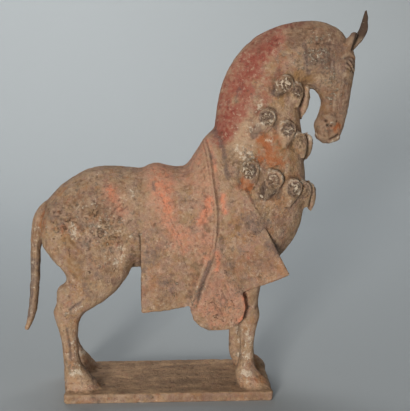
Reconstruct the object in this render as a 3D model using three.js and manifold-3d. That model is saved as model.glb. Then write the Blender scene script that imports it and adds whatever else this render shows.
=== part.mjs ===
// A grey earthenware horse of sixth-century north China, about 300 mm tall to the tip of its one whole
// ear. It stands on a thin rectangular base with its neck arched and its head tucked in. It wears a
// saddle under a cloth, two stiff mudguards, a round lobe of gathered cloth on each side, and three rows
// of drop-shaped pendants round the front of its neck. The ear on its right is broken off to a stub.
//
// Frame: millimetres, +X towards the head, +Y towards the horse's left, +Z up. The origin is the middle
// of the underside of the base.
import * as THREE from "three";
import { mergeVertices } from "three/addons/utils/BufferGeometryUtils.js";
import Module from "manifold-3d";

const wasm = await Module();
wasm.setup();

// Driving sizes
const BASE_LENGTH = 161;
const BASE_DEPTH = 84;
const BASE_HEIGHT = 7.5;
const BASE_CORNER = 2;
const BASE_BEVEL = 1;
const HOOF_SPREAD = 24.6; // from the middle plane to the middle of a hoof
const HOOF_SINK = 3; // how far a hoof runs down into the base that it is luted to
const EAR_SPREAD = 7;
const CLOTH_THICKNESS = 3.2;
const LOBE_THICKNESS = 5; // partly sunk into the mudguard behind it
const WELT_RADIUS = 1.7;

// Fineness of the faceted solids
const BODY_SIDES = 18;
const HEAD_SIDES = 14;
const LIMB_SIDES = 10;
const SMALL_SIDES = 7;

const mix = (a, b, t) => a + (b - a) * t;
const smoothstep = (from, to, x) => {
  const t = Math.min(1, Math.max(0, (x - from) / (to - from)));
  return t * t * (3 - 2 * t);
};
const bump = (middle, reach, x) => Math.exp(-(((x - middle) / reach) ** 2));

// A cut is one slice through a limb, square to the side view: its two ends, as [x, z], and half its
// width across the horse. egg is how much fuller its second end is than its first one, power is how
// boxy it is (2 is an ellipse), and y is how far its middle is from the middle plane.
function cut(first, second, half, { egg = 0, power = 2, y = 0 } = {}) {
  return { first, second, half, egg, power, y };
}

// A form is a smooth run of cuts. form(cuts).at(t) gives the cut at t, from 0 to 1.
function form(cuts) {
  const through = (pick) => {
    const points = cuts.map((c) => new THREE.Vector3(...pick(c)));
    return new THREE.CatmullRomCurve3(points, false, "catmullrom", 0.5);
  };
  const first = through((c) => [c.first[0], 0, c.first[1]]);
  const second = through((c) => [c.second[0], 0, c.second[1]]);
  const shape = through((c) => [c.half, c.egg, c.power]);
  const place = through((c) => [c.y, 0, 0]);
  const at = (t) => {
    const [a, b, s] = [first.getPoint(t), second.getPoint(t), shape.getPoint(t)];
    const more = { egg: s.y, power: s.z, y: place.getPoint(t).x };
    return cut([a.x, a.z], [b.x, b.z], Math.max(s.x, 0.3), more);
  };
  return { at };
}

const rounded = (value, power) => Math.sign(value) * Math.abs(value) ** (2 / power);

// The outline of a cut as points in space, for the horse's left (side 1) or its right (side -1).
// along is 1 at the first end of the cut and -1 at the second one.
function ring(c, sides, side = 1) {
  return Array.from({ length: sides }, (_, k) => {
    const angle = (2 * Math.PI * k) / sides;
    const along = rounded(Math.cos(angle), c.power);
    const across = rounded(Math.sin(angle), c.power) * c.half * (1 - c.egg * along);
    const share = (1 - along) / 2;
    const x = mix(c.first[0], c.second[0], share);
    const z = mix(c.first[1], c.second[1], share);
    return new THREE.Vector3(x, side * (c.y + across), z);
  });
}

// Half the width of a form where the side view shows the point [x, z], or 0 outside it.
function widthAt(shape, x, z) {
  const STEPS = 60;
  const lean = (t) => {
    const { first, second } = shape.at(t);
    return (x - first[0]) * (second[1] - first[1]) - (z - first[1]) * (second[0] - first[0]);
  };
  let widest = 0;
  for (let i = 0; i < STEPS; i++) {
    let [low, high] = [i / STEPS, (i + 1) / STEPS];
    const start = lean(low);
    if (start * lean(high) > 0) continue;
    for (let n = 0; n < 16; n++) {
      const half = (low + high) / 2;
      if (start * lean(half) > 0) low = half;
      else high = half;
    }
    const c = shape.at(low);
    const [run, rise] = [c.second[0] - c.first[0], c.second[1] - c.first[1]];
    const share = ((x - c.first[0]) * run + (z - c.first[1]) * rise) / (run ** 2 + rise ** 2);
    if (share <= 0 || share >= 1) continue;
    const along = 1 - 2 * share;
    const across = (1 - Math.abs(along) ** c.power) ** (1 / c.power);
    widest = Math.max(widest, across * c.half * (1 - c.egg * along));
  }
  return widest;
}

// A closed surface of three.js geometry as a solid that can be joined to others.
function solid(geometry) {
  const bare = new THREE.BufferGeometry();
  bare.setAttribute("position", geometry.getAttribute("position"));
  bare.setIndex(geometry.index);
  const merged = mergeVertices(bare, 1e-4);
  const mesh = new wasm.Mesh({
    numProp: 3,
    vertProperties: merged.attributes.position.array,
    triVerts: new Uint32Array(merged.index.array),
  });
  return new wasm.Manifold(mesh);
}

// Points and faces as a solid. Faces that all point inwards are turned round.
function solidFrom(points, faces) {
  const volume = faces.reduce((sum, [a, b, c]) => {
    const normal = new THREE.Vector3().crossVectors(points[b], points[c]);
    return sum + points[a].dot(normal);
  }, 0);
  const outward = volume > 0 ? faces : faces.map(([a, b, c]) => [a, c, b]);
  const geometry = new THREE.BufferGeometry().setFromPoints(points);
  geometry.setIndex(outward.flat());
  return solid(geometry);
}

// Skins a run of rings and closes both ends with a fan.
function loft(rings) {
  const sides = rings[0].length;
  const points = rings.flat();
  const faces = [];
  for (let r = 0; r + 1 < rings.length; r++) {
    for (let k = 0; k < sides; k++) {
      const [a, b] = [r * sides + k, r * sides + ((k + 1) % sides)];
      faces.push([a, b, a + sides], [b, b + sides, a + sides]);
    }
  }
  const close = (start, flip) => {
    const hub = points.length;
    const centre = new THREE.Vector3();
    for (let k = 0; k < sides; k++) centre.addScaledVector(points[start + k], 1 / sides);
    points.push(centre);
    for (let k = 0; k < sides; k++) {
      const [a, b] = [start + k, start + ((k + 1) % sides)];
      faces.push(flip ? [b, a, hub] : [a, b, hub]);
    }
  };
  close(0, true);
  close((rings.length - 1) * sides, false);
  return solidFrom(points, faces);
}

// Skins a form with a number of rings.
function limb(shape, count, sides, side = 1) {
  return loft(Array.from({ length: count }, (_, i) => ring(shape.at(i / (count - 1)), sides, side)));
}

// Skins a sheet. outer(u, v) gives a point of its outer face and inner(u, v) the point behind it, for u
// and v from 0 to 1.
function sheet(outer, inner, across, down) {
  const points = [];
  const faces = [];
  const at = (layer, i, j) => (layer * (across + 1) + i) * (down + 1) + j;
  const quad = (a, b, c, d) => faces.push([a, b, c], [a, c, d]);
  for (const face of [outer, inner]) {
    for (let i = 0; i <= across; i++) {
      for (let j = 0; j <= down; j++) points.push(face(i / across, j / down));
    }
  }
  for (let i = 0; i < across; i++) {
    for (let j = 0; j < down; j++) {
      quad(at(0, i, j), at(0, i + 1, j), at(0, i + 1, j + 1), at(0, i, j + 1));
      quad(at(1, i, j + 1), at(1, i + 1, j + 1), at(1, i + 1, j), at(1, i, j));
    }
    quad(at(0, i, down), at(0, i + 1, down), at(1, i + 1, down), at(1, i, down));
    quad(at(1, i, 0), at(1, i + 1, 0), at(0, i + 1, 0), at(0, i, 0));
  }
  for (let j = 0; j < down; j++) {
    quad(at(0, 0, j), at(0, 0, j + 1), at(1, 0, j + 1), at(1, 0, j));
    quad(at(1, across, j), at(1, across, j + 1), at(0, across, j + 1), at(0, across, j));
  }
  return solidFrom(points, faces);
}

// The barrel, from the rump to the breast. Its top line has the low cantle, the seat and the tall pommel
// that leans on the neck. First end above, second end below.
const barrel = form([
  cut([-97, 142], [-96, 124], 9),
  cut([-93, 153.6], [-91, 110], 21, { egg: 0.1 }),
  cut([-78, 168], [-76, 100], 28.5, { egg: 0.06 }),
  cut([-60, 177.6], [-60, 97], 32),
  cut([-40, 179.4], [-42, 97], 33),
  cut([-20, 177.4], [-21, 98], 32.8),
  cut([-11, 181.6], [-9, 97], 33.2, { egg: 0.02, power: 2.1 }),
  cut([3, 179], [4, 96], 33.6, { egg: 0.02, power: 2.1 }),
  cut([14.6, 179.4], [18, 95], 34, { egg: 0.03, power: 2.1 }),
  cut([22.8, 191], [31, 95], 34, { egg: 0.1, power: 2.1 }),
  cut([35, 207.4], [45, 95], 34, { egg: 0.18, power: 2.1 }),
  cut([52, 206], [60, 95], 33.4, { egg: 0.22 }),
  cut([72, 190], [76, 97], 31, { egg: 0.18 }),
  cut([88, 172], [88, 104], 25, { egg: 0.1 }),
  cut([97, 152], [96, 122], 14),
]);

// The neck, from the breast up and over to the poll. First end on the crest, second on the throat.
const neck = form([
  cut([38, 150], [84, 101], 29, { egg: -0.05 }),
  cut([36, 186], [99, 116], 31),
  cut([37, 209], [107.5, 138], 30, { egg: 0.14 }),
  cut([38.2, 222], [109.3, 160], 27.5, { egg: 0.24 }),
  cut([40, 233], [108, 183], 24.5, { egg: 0.3 }),
  cut([44.5, 248], [106, 203], 21.5, { egg: 0.32 }),
  cut([54, 264.6], [104.2, 220], 19, { egg: 0.32 }),
  cut([69, 279], [103, 232], 17.3, { egg: 0.3 }),
  cut([88, 287.8], [104.5, 239], 16, { egg: 0.27 }),
  cut([109, 291], [109, 240.8], 15.2, { egg: 0.22 }),
  cut([127.4, 288.6], [113, 241], 14.6, { egg: 0.16 }),
  cut([138.6, 280.4], [117, 243], 13.5, { egg: 0.1 }),
]);

// The head hangs almost straight down from the poll. First end on the brow, second on the jaw.
const head = form([
  cut([128, 287.6], [104, 262], 11.5, { egg: 0.1 }),
  cut([139.8, 278.6], [104, 248.5], 14, { egg: 0.06 }),
  cut([146.4, 267.8], [107.5, 241.5], 14.6, { egg: -0.02, power: 2.2 }),
  cut([147.2, 255.5], [115, 238], 13.6, { egg: -0.05, power: 2.3 }),
  cut([145.4, 245], [119.6, 231.6], 11, { egg: -0.06, power: 2.3 }),
  cut([143.8, 233], [120.6, 226], 9.2, { egg: -0.04, power: 2.3 }),
  cut([142.3, 222.5], [118.8, 219], 8.6, { power: 2.3 }),
  cut([140.2, 213], [116.8, 211.6], 9.4, { power: 2.4 }),
  cut([138.2, 206], [116.9, 204], 9.6, { power: 2.4 }),
  cut([135, 200.8], [118.8, 198.9], 7.8, { power: 2.3 }),
  cut([129.8, 196.8], [122.9, 195.5], 3.4),
]);

// The legs of the horse's right side. First end in front, second end behind. The hind leg has the two
// swellings behind it that are seen above the hock and at the hock itself.
const FORELEG = [
  cut([88, 124], [50, 118], 10, { y: 17 }),
  cut([82.5, 104], [50, 100], 12, { y: 19 }),
  cut([73.8, 90], [52.5, 89], 10.8, { y: 21 }),
  cut([70.6, 79], [54.8, 78.6], 9, { y: 22.4 }),
  cut([70.2, 71], [54.6, 71], 8.4, { y: 23.2 }),
  cut([71.5, 64], [54, 63.6], 8.7, { y: 23.6 }),
  cut([69.8, 57], [54.2, 56.6], 8, { y: 23.8 }),
  cut([67.4, 47.5], [55.4, 47.2], 6.8, { y: HOOF_SPREAD }),
  cut([66.9, 37], [55.7, 37], 6.4, { y: HOOF_SPREAD }),
  cut([67.4, 27], [54.2, 26.6], 6.9, { y: HOOF_SPREAD }),
  cut([69.2, 20.8], [51.6, 19.6], 8.1, { y: HOOF_SPREAD }),
  cut([75, 15], [51.8, 13.2], 10.4, { y: HOOF_SPREAD }),
  cut([80.4, 9], [53.4, 8.4], 12.8, { y: HOOF_SPREAD, power: 2.2 }),
  cut([81, BASE_HEIGHT - HOOF_SINK], [54, BASE_HEIGHT - HOOF_SINK], 13.2, { y: HOOF_SPREAD, power: 2.3 }),
];
const HINDLEG = [
  cut([-44, 158], [-93, 150], 13, { y: 12 }),
  cut([-32, 136], [-98, 135], 15, { y: 16.4 }),
  cut([-24, 112], [-97.6, 120], 15, { y: 17.8 }),
  cut([-31.2, 94], [-89.4, 107.6], 13.8, { y: 20 }),
  cut([-41.2, 82.4], [-77.2, 95.2], 12.2, { y: 21.6 }),
  cut([-50.2, 74.8], [-84, 89], 10.8, { y: 22.6 }),
  cut([-58.6, 70.2], [-87, 82.4], 9.6, { y: 23.2 }),
  cut([-64.6, 66.6], [-85.8, 75.4], 8.8, { y: 23.6 }),
  cut([-68, 61.6], [-89.3, 68.6], 8.6, { y: 23.8 }),
  cut([-69.4, 55], [-86.8, 60], 7.9, { y: HOOF_SPREAD }),
  cut([-69.9, 46], [-83.4, 47.4], 6.8, { y: HOOF_SPREAD }),
  cut([-69.6, 36], [-82.1, 36.4], 6.4, { y: HOOF_SPREAD }),
  cut([-67.4, 27.4], [-81.7, 27], 7, { y: HOOF_SPREAD }),
  cut([-63, 21.4], [-81.7, 20], 8.5, { y: HOOF_SPREAD }),
  cut([-57, 14.6], [-81.8, 13], 10.9, { y: HOOF_SPREAD }),
  cut([-52.6, 8.8], [-81.6, 8.2], 12.8, { y: HOOF_SPREAD, power: 2.2 }),
  cut([-52, BASE_HEIGHT - HOOF_SINK], [-80, BASE_HEIGHT - HOOF_SINK], 13.2, { y: HOOF_SPREAD, power: 2.3 }),
];

// The left legs were modelled freehand too. The left cannon bones stand a few millimetres further back
// than the right ones, the left fore hoof reaches a little further forward, and the left hind leg is
// flatter behind.
const leftFore = (x, z) => mix(-5, 1.6, smoothstep(34, 10, z));
const leftHind = (x, z) => -5 * smoothstep(84, 44, z) + (x < -75 ? 5.5 * bump(86, 6, z) : 0);

function standing(cuts, shift) {
  const move = ([x, z]) => [x + shift(x, z), z];
  return form(cuts.map((c) => ({ ...c, first: move(c.first), second: move(c.second) })));
}

// The tail, from inside the rump down to its blunt tip. First end outside, second end inside.
const tail = form([
  cut([-90, 156], [-82, 138], 7),
  cut([-99.6, 148.8], [-90, 130], 8.6),
  cut([-105.4, 140], [-97, 120], 8.2),
  cut([-107.6, 127], [-99.8, 113.5], 7.2),
  cut([-108.4, 110], [-100.2, 102], 6.5),
  cut([-109, 92], [-101.2, 88], 6.2),
  cut([-109.9, 76], [-102.4, 75], 6),
  cut([-111.6, 62], [-104.4, 62.6], 5.4),
  cut([-113.6, 53], [-107.4, 53.6], 4.5),
  cut([-115, 47.8], [-111.2, 47.3], 2.4),
]);

// The ears, about the middle plane. First end at the back, second end towards the brow.
const wholeEar = form([
  cut([137, 267], [142, 259], 3.4),
  cut([144, 274], [149.6, 269], 4.4),
  cut([148.6, 280], [155.4, 276], 4.8),
  cut([151.6, 286], [158.8, 282.8], 4.4),
  cut([153, 291], [158.9, 289.6], 3.4),
  cut([154.6, 296], [157.8, 295.6], 1.9),
  cut([156, 300], [156.8, 300], 0.5),
]);
const brokenEar = form([
  cut([134, 270], [140, 262], 3.6),
  cut([137.4, 275], [143.4, 270], 4.6),
  cut([140.4, 280], [146.4, 276.6], 4.2),
  cut([143, 282], [147, 281.4], 2.6),
]);

// The mudguards. Each is a stiff sheet that comes out of the barrel at its top and stands off the horse
// below, flaring towards its hem.
const HANG_TOP = 150;
const HANG_FREE = 124; // below this height the sheet is clear of the barrel
const HANG_HALF = 35.4; // from the middle plane to its outer face at the barrel's widest height
const HANG_FLARE = 0.1; // how far it leans out for each millimetre that it drops
const BARREL_WIDEST = 138;
const TOP_SINK = 1.8; // how far its top edge is sunk into the barrel
const HEM_SAG = 4.6;
const REAR_EDGE = { top: [-21, HANG_TOP], hem: [-20.8, 70.6] };
const FRONT_EDGE = { top: [65.5, HANG_TOP], hem: [92.4, 98.4] };

const bodyWidth = (x, z) => Math.max(widthAt(barrel, x, z), widthAt(neck, x, z));

// From the middle plane to the cloth's outer face, where the side view shows [x, z].
function clothHalf(x, z) {
  const hung = smoothstep(HANG_TOP, HANG_FREE, z);
  const free = HANG_HALF + Math.max(0, BARREL_WIDEST - z) * HANG_FLARE;
  return hung === 1 ? free : mix(bodyWidth(x, z) - TOP_SINK, free, hung);
}

function mudguard(side) {
  const point = (u, v, inward) => {
    const edge = ({ top, hem }) => [mix(top[0], hem[0], v), mix(top[1], hem[1], v)];
    const [rear, front] = [edge(REAR_EDGE), edge(FRONT_EDGE)];
    const x = mix(rear[0], front[0], u);
    const sag = HEM_SAG * Math.max(0, Math.sin(Math.PI * u)) ** 0.8 * v * v;
    const z = mix(rear[1], front[1], u) - sag;
    return new THREE.Vector3(x, side * (clothHalf(x, z) - inward), z);
  };
  return sheet((u, v) => point(u, v, 0), (u, v) => point(u, v, CLOTH_THICKNESS), 8, 6);
}

// The lobe of gathered cloth on each mudguard, from the knot where it starts to its round foot: the
// middle of a row as [x, z] and half its length along the horse.
const LOBE_PROUD = 2.2;
const LOBE = [
  { middle: [34.4, 134], half: 1.4 },
  { middle: [35, 121], half: 3.2 },
  { middle: [35.6, 109], half: 6.6 },
  { middle: [37, 97], half: 12.4 },
  { middle: [37.6, 86], half: 18.2 },
  { middle: [37.6, 76], half: 21 },
  { middle: [37.4, 67], half: 19.6 },
  { middle: [37.2, 60.6], half: 14 },
  { middle: [37, 57.6], half: 7 },
];
const lobeRows = new THREE.CatmullRomCurve3(
  LOBE.map(({ middle: [x, z], half }) => new THREE.Vector3(x, half, z)),
);

function lobe(side) {
  const point = (u, v, inward) => {
    const row = lobeRows.getPoint(v);
    const across = 2 * u - 1;
    const dome = LOBE_PROUD * (1 - 0.4 * across ** 2);
    const y = clothHalf(row.x, row.z) + dome - inward;
    return new THREE.Vector3(row.x + across * row.y, side * y, row.z);
  };
  return sheet((u, v) => point(u, v, 0), (u, v) => point(u, v, LOBE_THICKNESS), 6, 9);
}

// The welt: the raised fold that runs from the pommel down the side and down the back of the lobe.
const WELT = [
  [27.4, 196.5],
  [29.8, 183],
  [32.4, 167.5],
  [34.3, 152.3],
  [34.6, 139.4],
  [33.2, 122],
  [30.4, 111],
  [24.8, 96.3],
  [18, 79.5],
];

function welt(side) {
  const points = WELT.map(([x, z], i) => {
    const onLobe = LOBE_PROUD * 0.7 * smoothstep(4, 8, i);
    const y = Math.max(bodyWidth(x, z), clothHalf(x, z) * smoothstep(156, 140, z)) + onLobe;
    return new THREE.Vector3(x, side * y, z);
  });
  const section = new THREE.Shape().absarc(0, 0, WELT_RADIUS, 0, 2 * Math.PI);
  const extrudePath = new THREE.CatmullRomCurve3(points);
  return solid(
    new THREE.ExtrudeGeometry(section, { steps: 14, curveSegments: 3, bevelEnabled: false, extrudePath }),
  );
}

// The pendants: three rows of drops round the front of the neck, each with a round boss above and a
// narrower drop below. A row gives the middle of the boss and of the drop's tip as [x, z] in the side
// view, for the pendant on the breast line first and then for those to each side of it.
const ROWS = [
  {
    boss: 6,
    depth: 4,
    drops: [[[108.6, 235], [107.4, 217]], [[100.5, 236.5], [98.6, 226]], [[90, 242.5], [82.4, 235.4]]],
  },
  {
    boss: 6.6,
    depth: 4.4,
    drops: [
      [[110.7, 197], [111.4, 184.4]],
      [[102.9, 198.5], [103.4, 187]],
      [[91.6, 208.4], [88.4, 195.6]],
      [[76.1, 217.1], [67, 207.2]],
    ],
  },
  {
    boss: 7,
    depth: 4.8,
    drops: [
      [[113.3, 159], [115.4, 144]],
      [[107, 160], [107.4, 148]],
      [[96, 164.1], [91.8, 151]],
      [[81.1, 170.6], [74.6, 158]],
      [[61.6, 177.8], [58.6, 165.6]],
    ],
  },
];
// Stations along a pendant: how far down it is, in boss radii up to the middle of the boss and in drop
// lengths below it, and its width and depth as shares of the boss's.
const STATIONS = [
  { up: -0.96, down: 0, width: 0.42, depth: 0.42 },
  { up: -0.5, down: 0, width: 0.9, depth: 0.88 },
  { up: 0.3, down: 0, width: 1, depth: 1 },
  { up: 0, down: 0.72, width: 0.62, depth: 0.74 },
  { up: 0, down: 1.14, width: 0.3, depth: 0.42 },
];

// The outward direction of the neck's surface where the side view shows [x, z].
function neckOutward(x, z, side) {
  if (side === 0) return new THREE.Vector3(1, 0, 0.04);
  const [alongX, alongZ] = [
    (widthAt(neck, x + 1, z) - widthAt(neck, x - 1, z)) / 2,
    (widthAt(neck, x, z + 1) - widthAt(neck, x, z - 1)) / 2,
  ];
  return new THREE.Vector3(-alongX, side, -alongZ).normalize();
}

function pendant([bossAt, tipAt], boss, depth, side) {
  const [top, tip] = [bossAt, tipAt].map(([x, z]) => new THREE.Vector3(x, side * widthAt(neck, x, z), z));
  const run = new THREE.Vector3().subVectors(tip, top);
  const down = run.clone().normalize();
  const out = neckOutward(...bossAt, side);
  out.addScaledVector(down, -out.dot(down)).normalize();
  const wide = new THREE.Vector3().crossVectors(down, out);
  const rings = STATIONS.map((station) => {
    const centre = top.clone().addScaledVector(down, station.up * boss).addScaledVector(run, station.down);
    centre.addScaledVector(out, side === 0 ? 0 : depth * 0.2);
    return Array.from({ length: SMALL_SIDES }, (_, k) => {
      const angle = (2 * Math.PI * (k + 0.5)) / SMALL_SIDES;
      return centre
        .clone()
        .addScaledVector(wide, Math.cos(angle) * station.width * boss)
        .addScaledVector(out, Math.sin(angle) * station.depth * depth);
    });
  });
  return loft(rings);
}

function pendants() {
  return ROWS.flatMap(({ boss, depth, drops: [middle, ...others] }) => [
    pendant(middle, boss, depth, 0),
    ...others.flatMap((drop) => [-1, 1].map((side) => pendant(drop, boss, depth, side))),
  ]);
}

// The eye under its brow, and the nostril, on each side of the head.
const EYE = { at: [139.4, 256.8], radii: [4.8, 2.4, 3.4] };
const NOSTRIL = { at: [126.6, 213], radii: [4.4, 2.2, 4.8] };

function swelling({ at: [x, z], radii }, side) {
  const ball = new THREE.SphereGeometry(1, 8, 5);
  ball.scale(...radii);
  ball.translate(x, side * (widthAt(head, x, z) - 0.4), z);
  return solid(ball);
}

// The base: a thin slab with softened corners and edges.
function base() {
  const [x, y] = [BASE_LENGTH / 2 - BASE_BEVEL, BASE_DEPTH / 2 - BASE_BEVEL];
  const plan = new THREE.Shape();
  const corners = [[x, -y, -0.5], [x, y, 0], [-x, y, 0.5], [-x, -y, 1]];
  for (const [cx, cy, turn] of corners) {
    const middle = [cx - Math.sign(cx) * BASE_CORNER, cy - Math.sign(cy) * BASE_CORNER];
    plan.absarc(...middle, BASE_CORNER, turn * Math.PI, (turn + 0.5) * Math.PI);
  }
  plan.closePath();
  const slab = new THREE.ExtrudeGeometry(plan, {
    depth: BASE_HEIGHT - 2 * BASE_BEVEL,
    curveSegments: 2,
    bevelThickness: BASE_BEVEL,
    bevelSize: BASE_BEVEL,
    bevelSegments: 2,
  });
  slab.translate(0, 0, BASE_BEVEL);
  return solid(slab);
}

// The ears stand to the sides of the middle plane.
const atSide = (made, y) => made.translate([0, y, 0]);

const both = (make) => [-1, 1].map(make);
const pieces = [
  base(),
  limb(barrel, 26, BODY_SIDES),
  limb(neck, 20, BODY_SIDES),
  limb(head, 17, HEAD_SIDES),
  limb(tail, 15, SMALL_SIDES),
  atSide(limb(wholeEar, 8, SMALL_SIDES), EAR_SPREAD),
  atSide(limb(brokenEar, 5, SMALL_SIDES), -EAR_SPREAD),
  limb(form(FORELEG), 19, LIMB_SIDES, -1),
  limb(form(HINDLEG), 23, LIMB_SIDES, -1),
  limb(standing(FORELEG, leftFore), 19, LIMB_SIDES, 1),
  limb(standing(HINDLEG, leftHind), 23, LIMB_SIDES, 1),
  ...both(mudguard),
  ...both(lobe),
  ...both(welt),
  ...both((side) => swelling(EYE, side)),
  ...both((side) => swelling(NOSTRIL, side)),
  ...pendants(),
];
const joined = pieces.reduce((whole, piece) => whole.add(piece));

function geometryOf(made) {
  const mesh = made.getMesh();
  const geometry = new THREE.BufferGeometry();
  geometry.setAttribute("position", new THREE.BufferAttribute(new Float32Array(mesh.vertProperties), 3));
  geometry.setIndex(new THREE.BufferAttribute(new Uint32Array(mesh.triVerts), 1));
  geometry.computeVertexNormals();
  return geometry;
}

const clay = new THREE.MeshStandardMaterial({ color: 0x8f6f55, roughness: 0.92, metalness: 0 });
const horse = new THREE.Mesh(geometryOf(joined), clay);
horse.name = "horse_figure";

const figure = new THREE.Group();
figure.add(horse);
export default figure;
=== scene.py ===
# %% [markdown]
# # A painted earthenware horse
#
# The real object is a saddled horse about 30 cm tall. It was modelled in grey clay, luted to a thin slab,
# fired low, coated with slip and painted red and salmon. A long time in the ground has worn the paint
# and left pits, grey stains and a whitish crust. This lesson starts from the solid that the frame holds,
# turns it into fine clay, presses the small forms into it, and then mixes its colours with shader nodes.

# %% Load the frame
import math

import bmesh
import bpy
import numpy as np
from mathutils import Matrix, Vector, noise
from mathutils.bvhtree import BVHTree


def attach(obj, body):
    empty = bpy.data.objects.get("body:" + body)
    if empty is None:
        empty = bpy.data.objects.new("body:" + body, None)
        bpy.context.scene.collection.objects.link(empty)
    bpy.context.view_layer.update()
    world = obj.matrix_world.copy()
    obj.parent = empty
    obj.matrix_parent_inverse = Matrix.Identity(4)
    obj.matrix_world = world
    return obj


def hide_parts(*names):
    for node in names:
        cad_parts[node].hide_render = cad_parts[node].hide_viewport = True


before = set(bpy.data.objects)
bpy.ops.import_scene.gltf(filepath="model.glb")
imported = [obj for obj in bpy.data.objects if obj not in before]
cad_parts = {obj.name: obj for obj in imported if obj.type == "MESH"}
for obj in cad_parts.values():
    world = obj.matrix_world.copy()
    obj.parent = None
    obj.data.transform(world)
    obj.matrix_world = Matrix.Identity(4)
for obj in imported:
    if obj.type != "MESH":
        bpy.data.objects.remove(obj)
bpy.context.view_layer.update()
NODE = "horse_figure"
MM = 0.001
print("the frame holds", sorted(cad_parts))

# %% [markdown]
# ## Camera
#
# The photograph shows the horse's right side from a little above. A camera can be fitted to a picture by
# moving it until the edges of a flat thing, here the slab, fall where the picture has them. The lens
# below gives the same perspective at the same distance, so the outline can be compared directly.

# %% Place the camera
IMAGE_SIDE = 411  # the photograph's longer side, in pixels
FOCAL_PIXELS = 918.17
SENSOR = 36.0
TILT_DOWN = 8.2  # degrees
TURN = -3.0  # degrees
CAMERA_AT = (-7.95, -719.0, 250.55)


def add_camera():
    data = bpy.data.cameras.new("camera")
    data.sensor_width = SENSOR
    data.lens = SENSOR * FOCAL_PIXELS / IMAGE_SIDE
    camera = bpy.data.objects.new("camera", data)
    camera.location = Vector(CAMERA_AT) * MM
    camera.rotation_euler = (math.radians(90 - TILT_DOWN), 0, math.radians(TURN))
    bpy.context.scene.collection.objects.link(camera)
    bpy.context.scene.camera = camera
    return camera


print("lens", round(add_camera().data.lens, 1), "mm")

# %% [markdown]
# ## Paper
#
# The horse stands on a sheet of pale paper that runs back and curves up, as in a photographer's studio. A
# plane with a wall behind it would show a line where they meet. The paper isn't part of the object.

# %% Lay the paper
PAPER_COLOUR = (0.474, 0.507, 0.52, 1)
PAPER_ROUGHNESS = 0.9
PAPER_HALF_WIDTH = 3.0  # metres, as all of the paper's sizes
PAPER_FRONT = -1.3
BEND_START = 0.75
BEND_RADIUS = 0.9
PAPER_TOP = 3.0
BEND_STEPS = 16


def paper_profile():
    """The paper seen from the side, as (y, z), from its front edge to its top."""
    bend = [math.pi / 2 * i / BEND_STEPS for i in range(BEND_STEPS + 1)]
    profile = [(PAPER_FRONT, 0.0)]
    profile += [(BEND_START + BEND_RADIUS * math.sin(t), BEND_RADIUS * (1 - math.cos(t))) for t in bend]
    return profile + [(BEND_START + BEND_RADIUS, PAPER_TOP)]


def paper_material():
    material = bpy.data.materials.new("studio_paper")
    material.use_nodes = True
    shader = material.node_tree.nodes["Principled BSDF"]
    shader.inputs["Base Color"].default_value = PAPER_COLOUR
    shader.inputs["Roughness"].default_value = PAPER_ROUGHNESS
    return material


def add_paper():
    profile = paper_profile()
    made = bmesh.new()
    left = [made.verts.new((-PAPER_HALF_WIDTH, y, z)) for y, z in profile]
    right = [made.verts.new((PAPER_HALF_WIDTH, y, z)) for y, z in profile]
    for i in range(len(profile) - 1):
        made.faces.new((left[i], right[i], right[i + 1], left[i + 1])).smooth = True
    mesh = bpy.data.meshes.new("studio_paper")
    made.to_mesh(mesh)
    made.free()
    mesh.materials.append(paper_material())
    paper = bpy.data.objects.new("studio_paper", mesh)
    bpy.context.scene.collection.objects.link(paper)
    return paper


print("the paper has", len(add_paper().data.polygons), "faces")

# %% [markdown]
# ## Lights
#
# Large soft lights keep the shadows open. A key stands beside the camera on its left, where the photograph
# has it, and a weak fill on its right. A third lights the far side, for whoever walks round the horse, and
# the fourth shines on the paper behind it, so that the horse stands out. A faint sky lifts what is left.
# The Standard view shows each colour as strong as it is mixed. The default view would fade the paint.

# %% Hang the lights
HORSE_MIDDLE = (0.02, 0, 0.15)
PAPER_BEHIND = (0.0, 1.5, 0.65)
SOFTBOXES = (
    # a name, its place and width in metres, its watts, its colour and what it shines on
    ("key", (-0.82, -2.7, 0.49), 0.5, 72, (1.0, 0.97, 0.92), HORSE_MIDDLE),
    ("fill", (0.95, -1.1, 0.45), 0.9, 1.8, (0.95, 0.97, 1.0), HORSE_MIDDLE),
    ("far_side", (-0.5, 1.3, 1.25), 1.0, 6, (0.97, 0.98, 1.0), HORSE_MIDDLE),
    ("back", (0.0, 0.55, 1.5), 0.9, 7.2, (1.0, 1.0, 1.0), PAPER_BEHIND),
)
SKY_COLOUR = (0.80, 0.86, 0.92, 1)
SKY_STRENGTH = 0.08


def add_softbox(name, place, width, watts, colour, aim):
    """A round light that is turned towards a place."""
    data = bpy.data.lights.new(name, "AREA")
    data.shape = "DISK"
    data.size = width
    data.energy = watts
    data.color = colour
    light = bpy.data.objects.new(name, data)
    light.location = place
    light.rotation_euler = (Vector(aim) - Vector(place)).to_track_quat("-Z", "Y").to_euler()
    bpy.context.scene.collection.objects.link(light)


def add_sky():
    sky = bpy.data.worlds.new("sky")
    sky.use_nodes = True
    background = sky.node_tree.nodes["Background"]
    background.inputs["Color"].default_value = SKY_COLOUR
    background.inputs["Strength"].default_value = SKY_STRENGTH
    bpy.context.scene.world = sky


for softbox in SOFTBOXES:
    add_softbox(*softbox)
add_sky()
bpy.context.scene.view_settings.view_transform = "Standard"

# %% [markdown]
# ## The blank
#
# A potter builds the rough horse first and adds pressed ornaments to it while the clay is soft. The frame
# has the rough horse as facets. The round bosses and the drops below them are added here as rounded
# lumps that sink into the neck, and the voxel remesh then joins all of it into one even skin. A boolean
# union would join them too, but it keeps the facets and gives no even mesh to sculpt on.
#
# A pendant is given by its place in the side view alone. A ray sent across the horse finds how far out the
# neck is there, so each pendant sits on the clay and leans with it.

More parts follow.
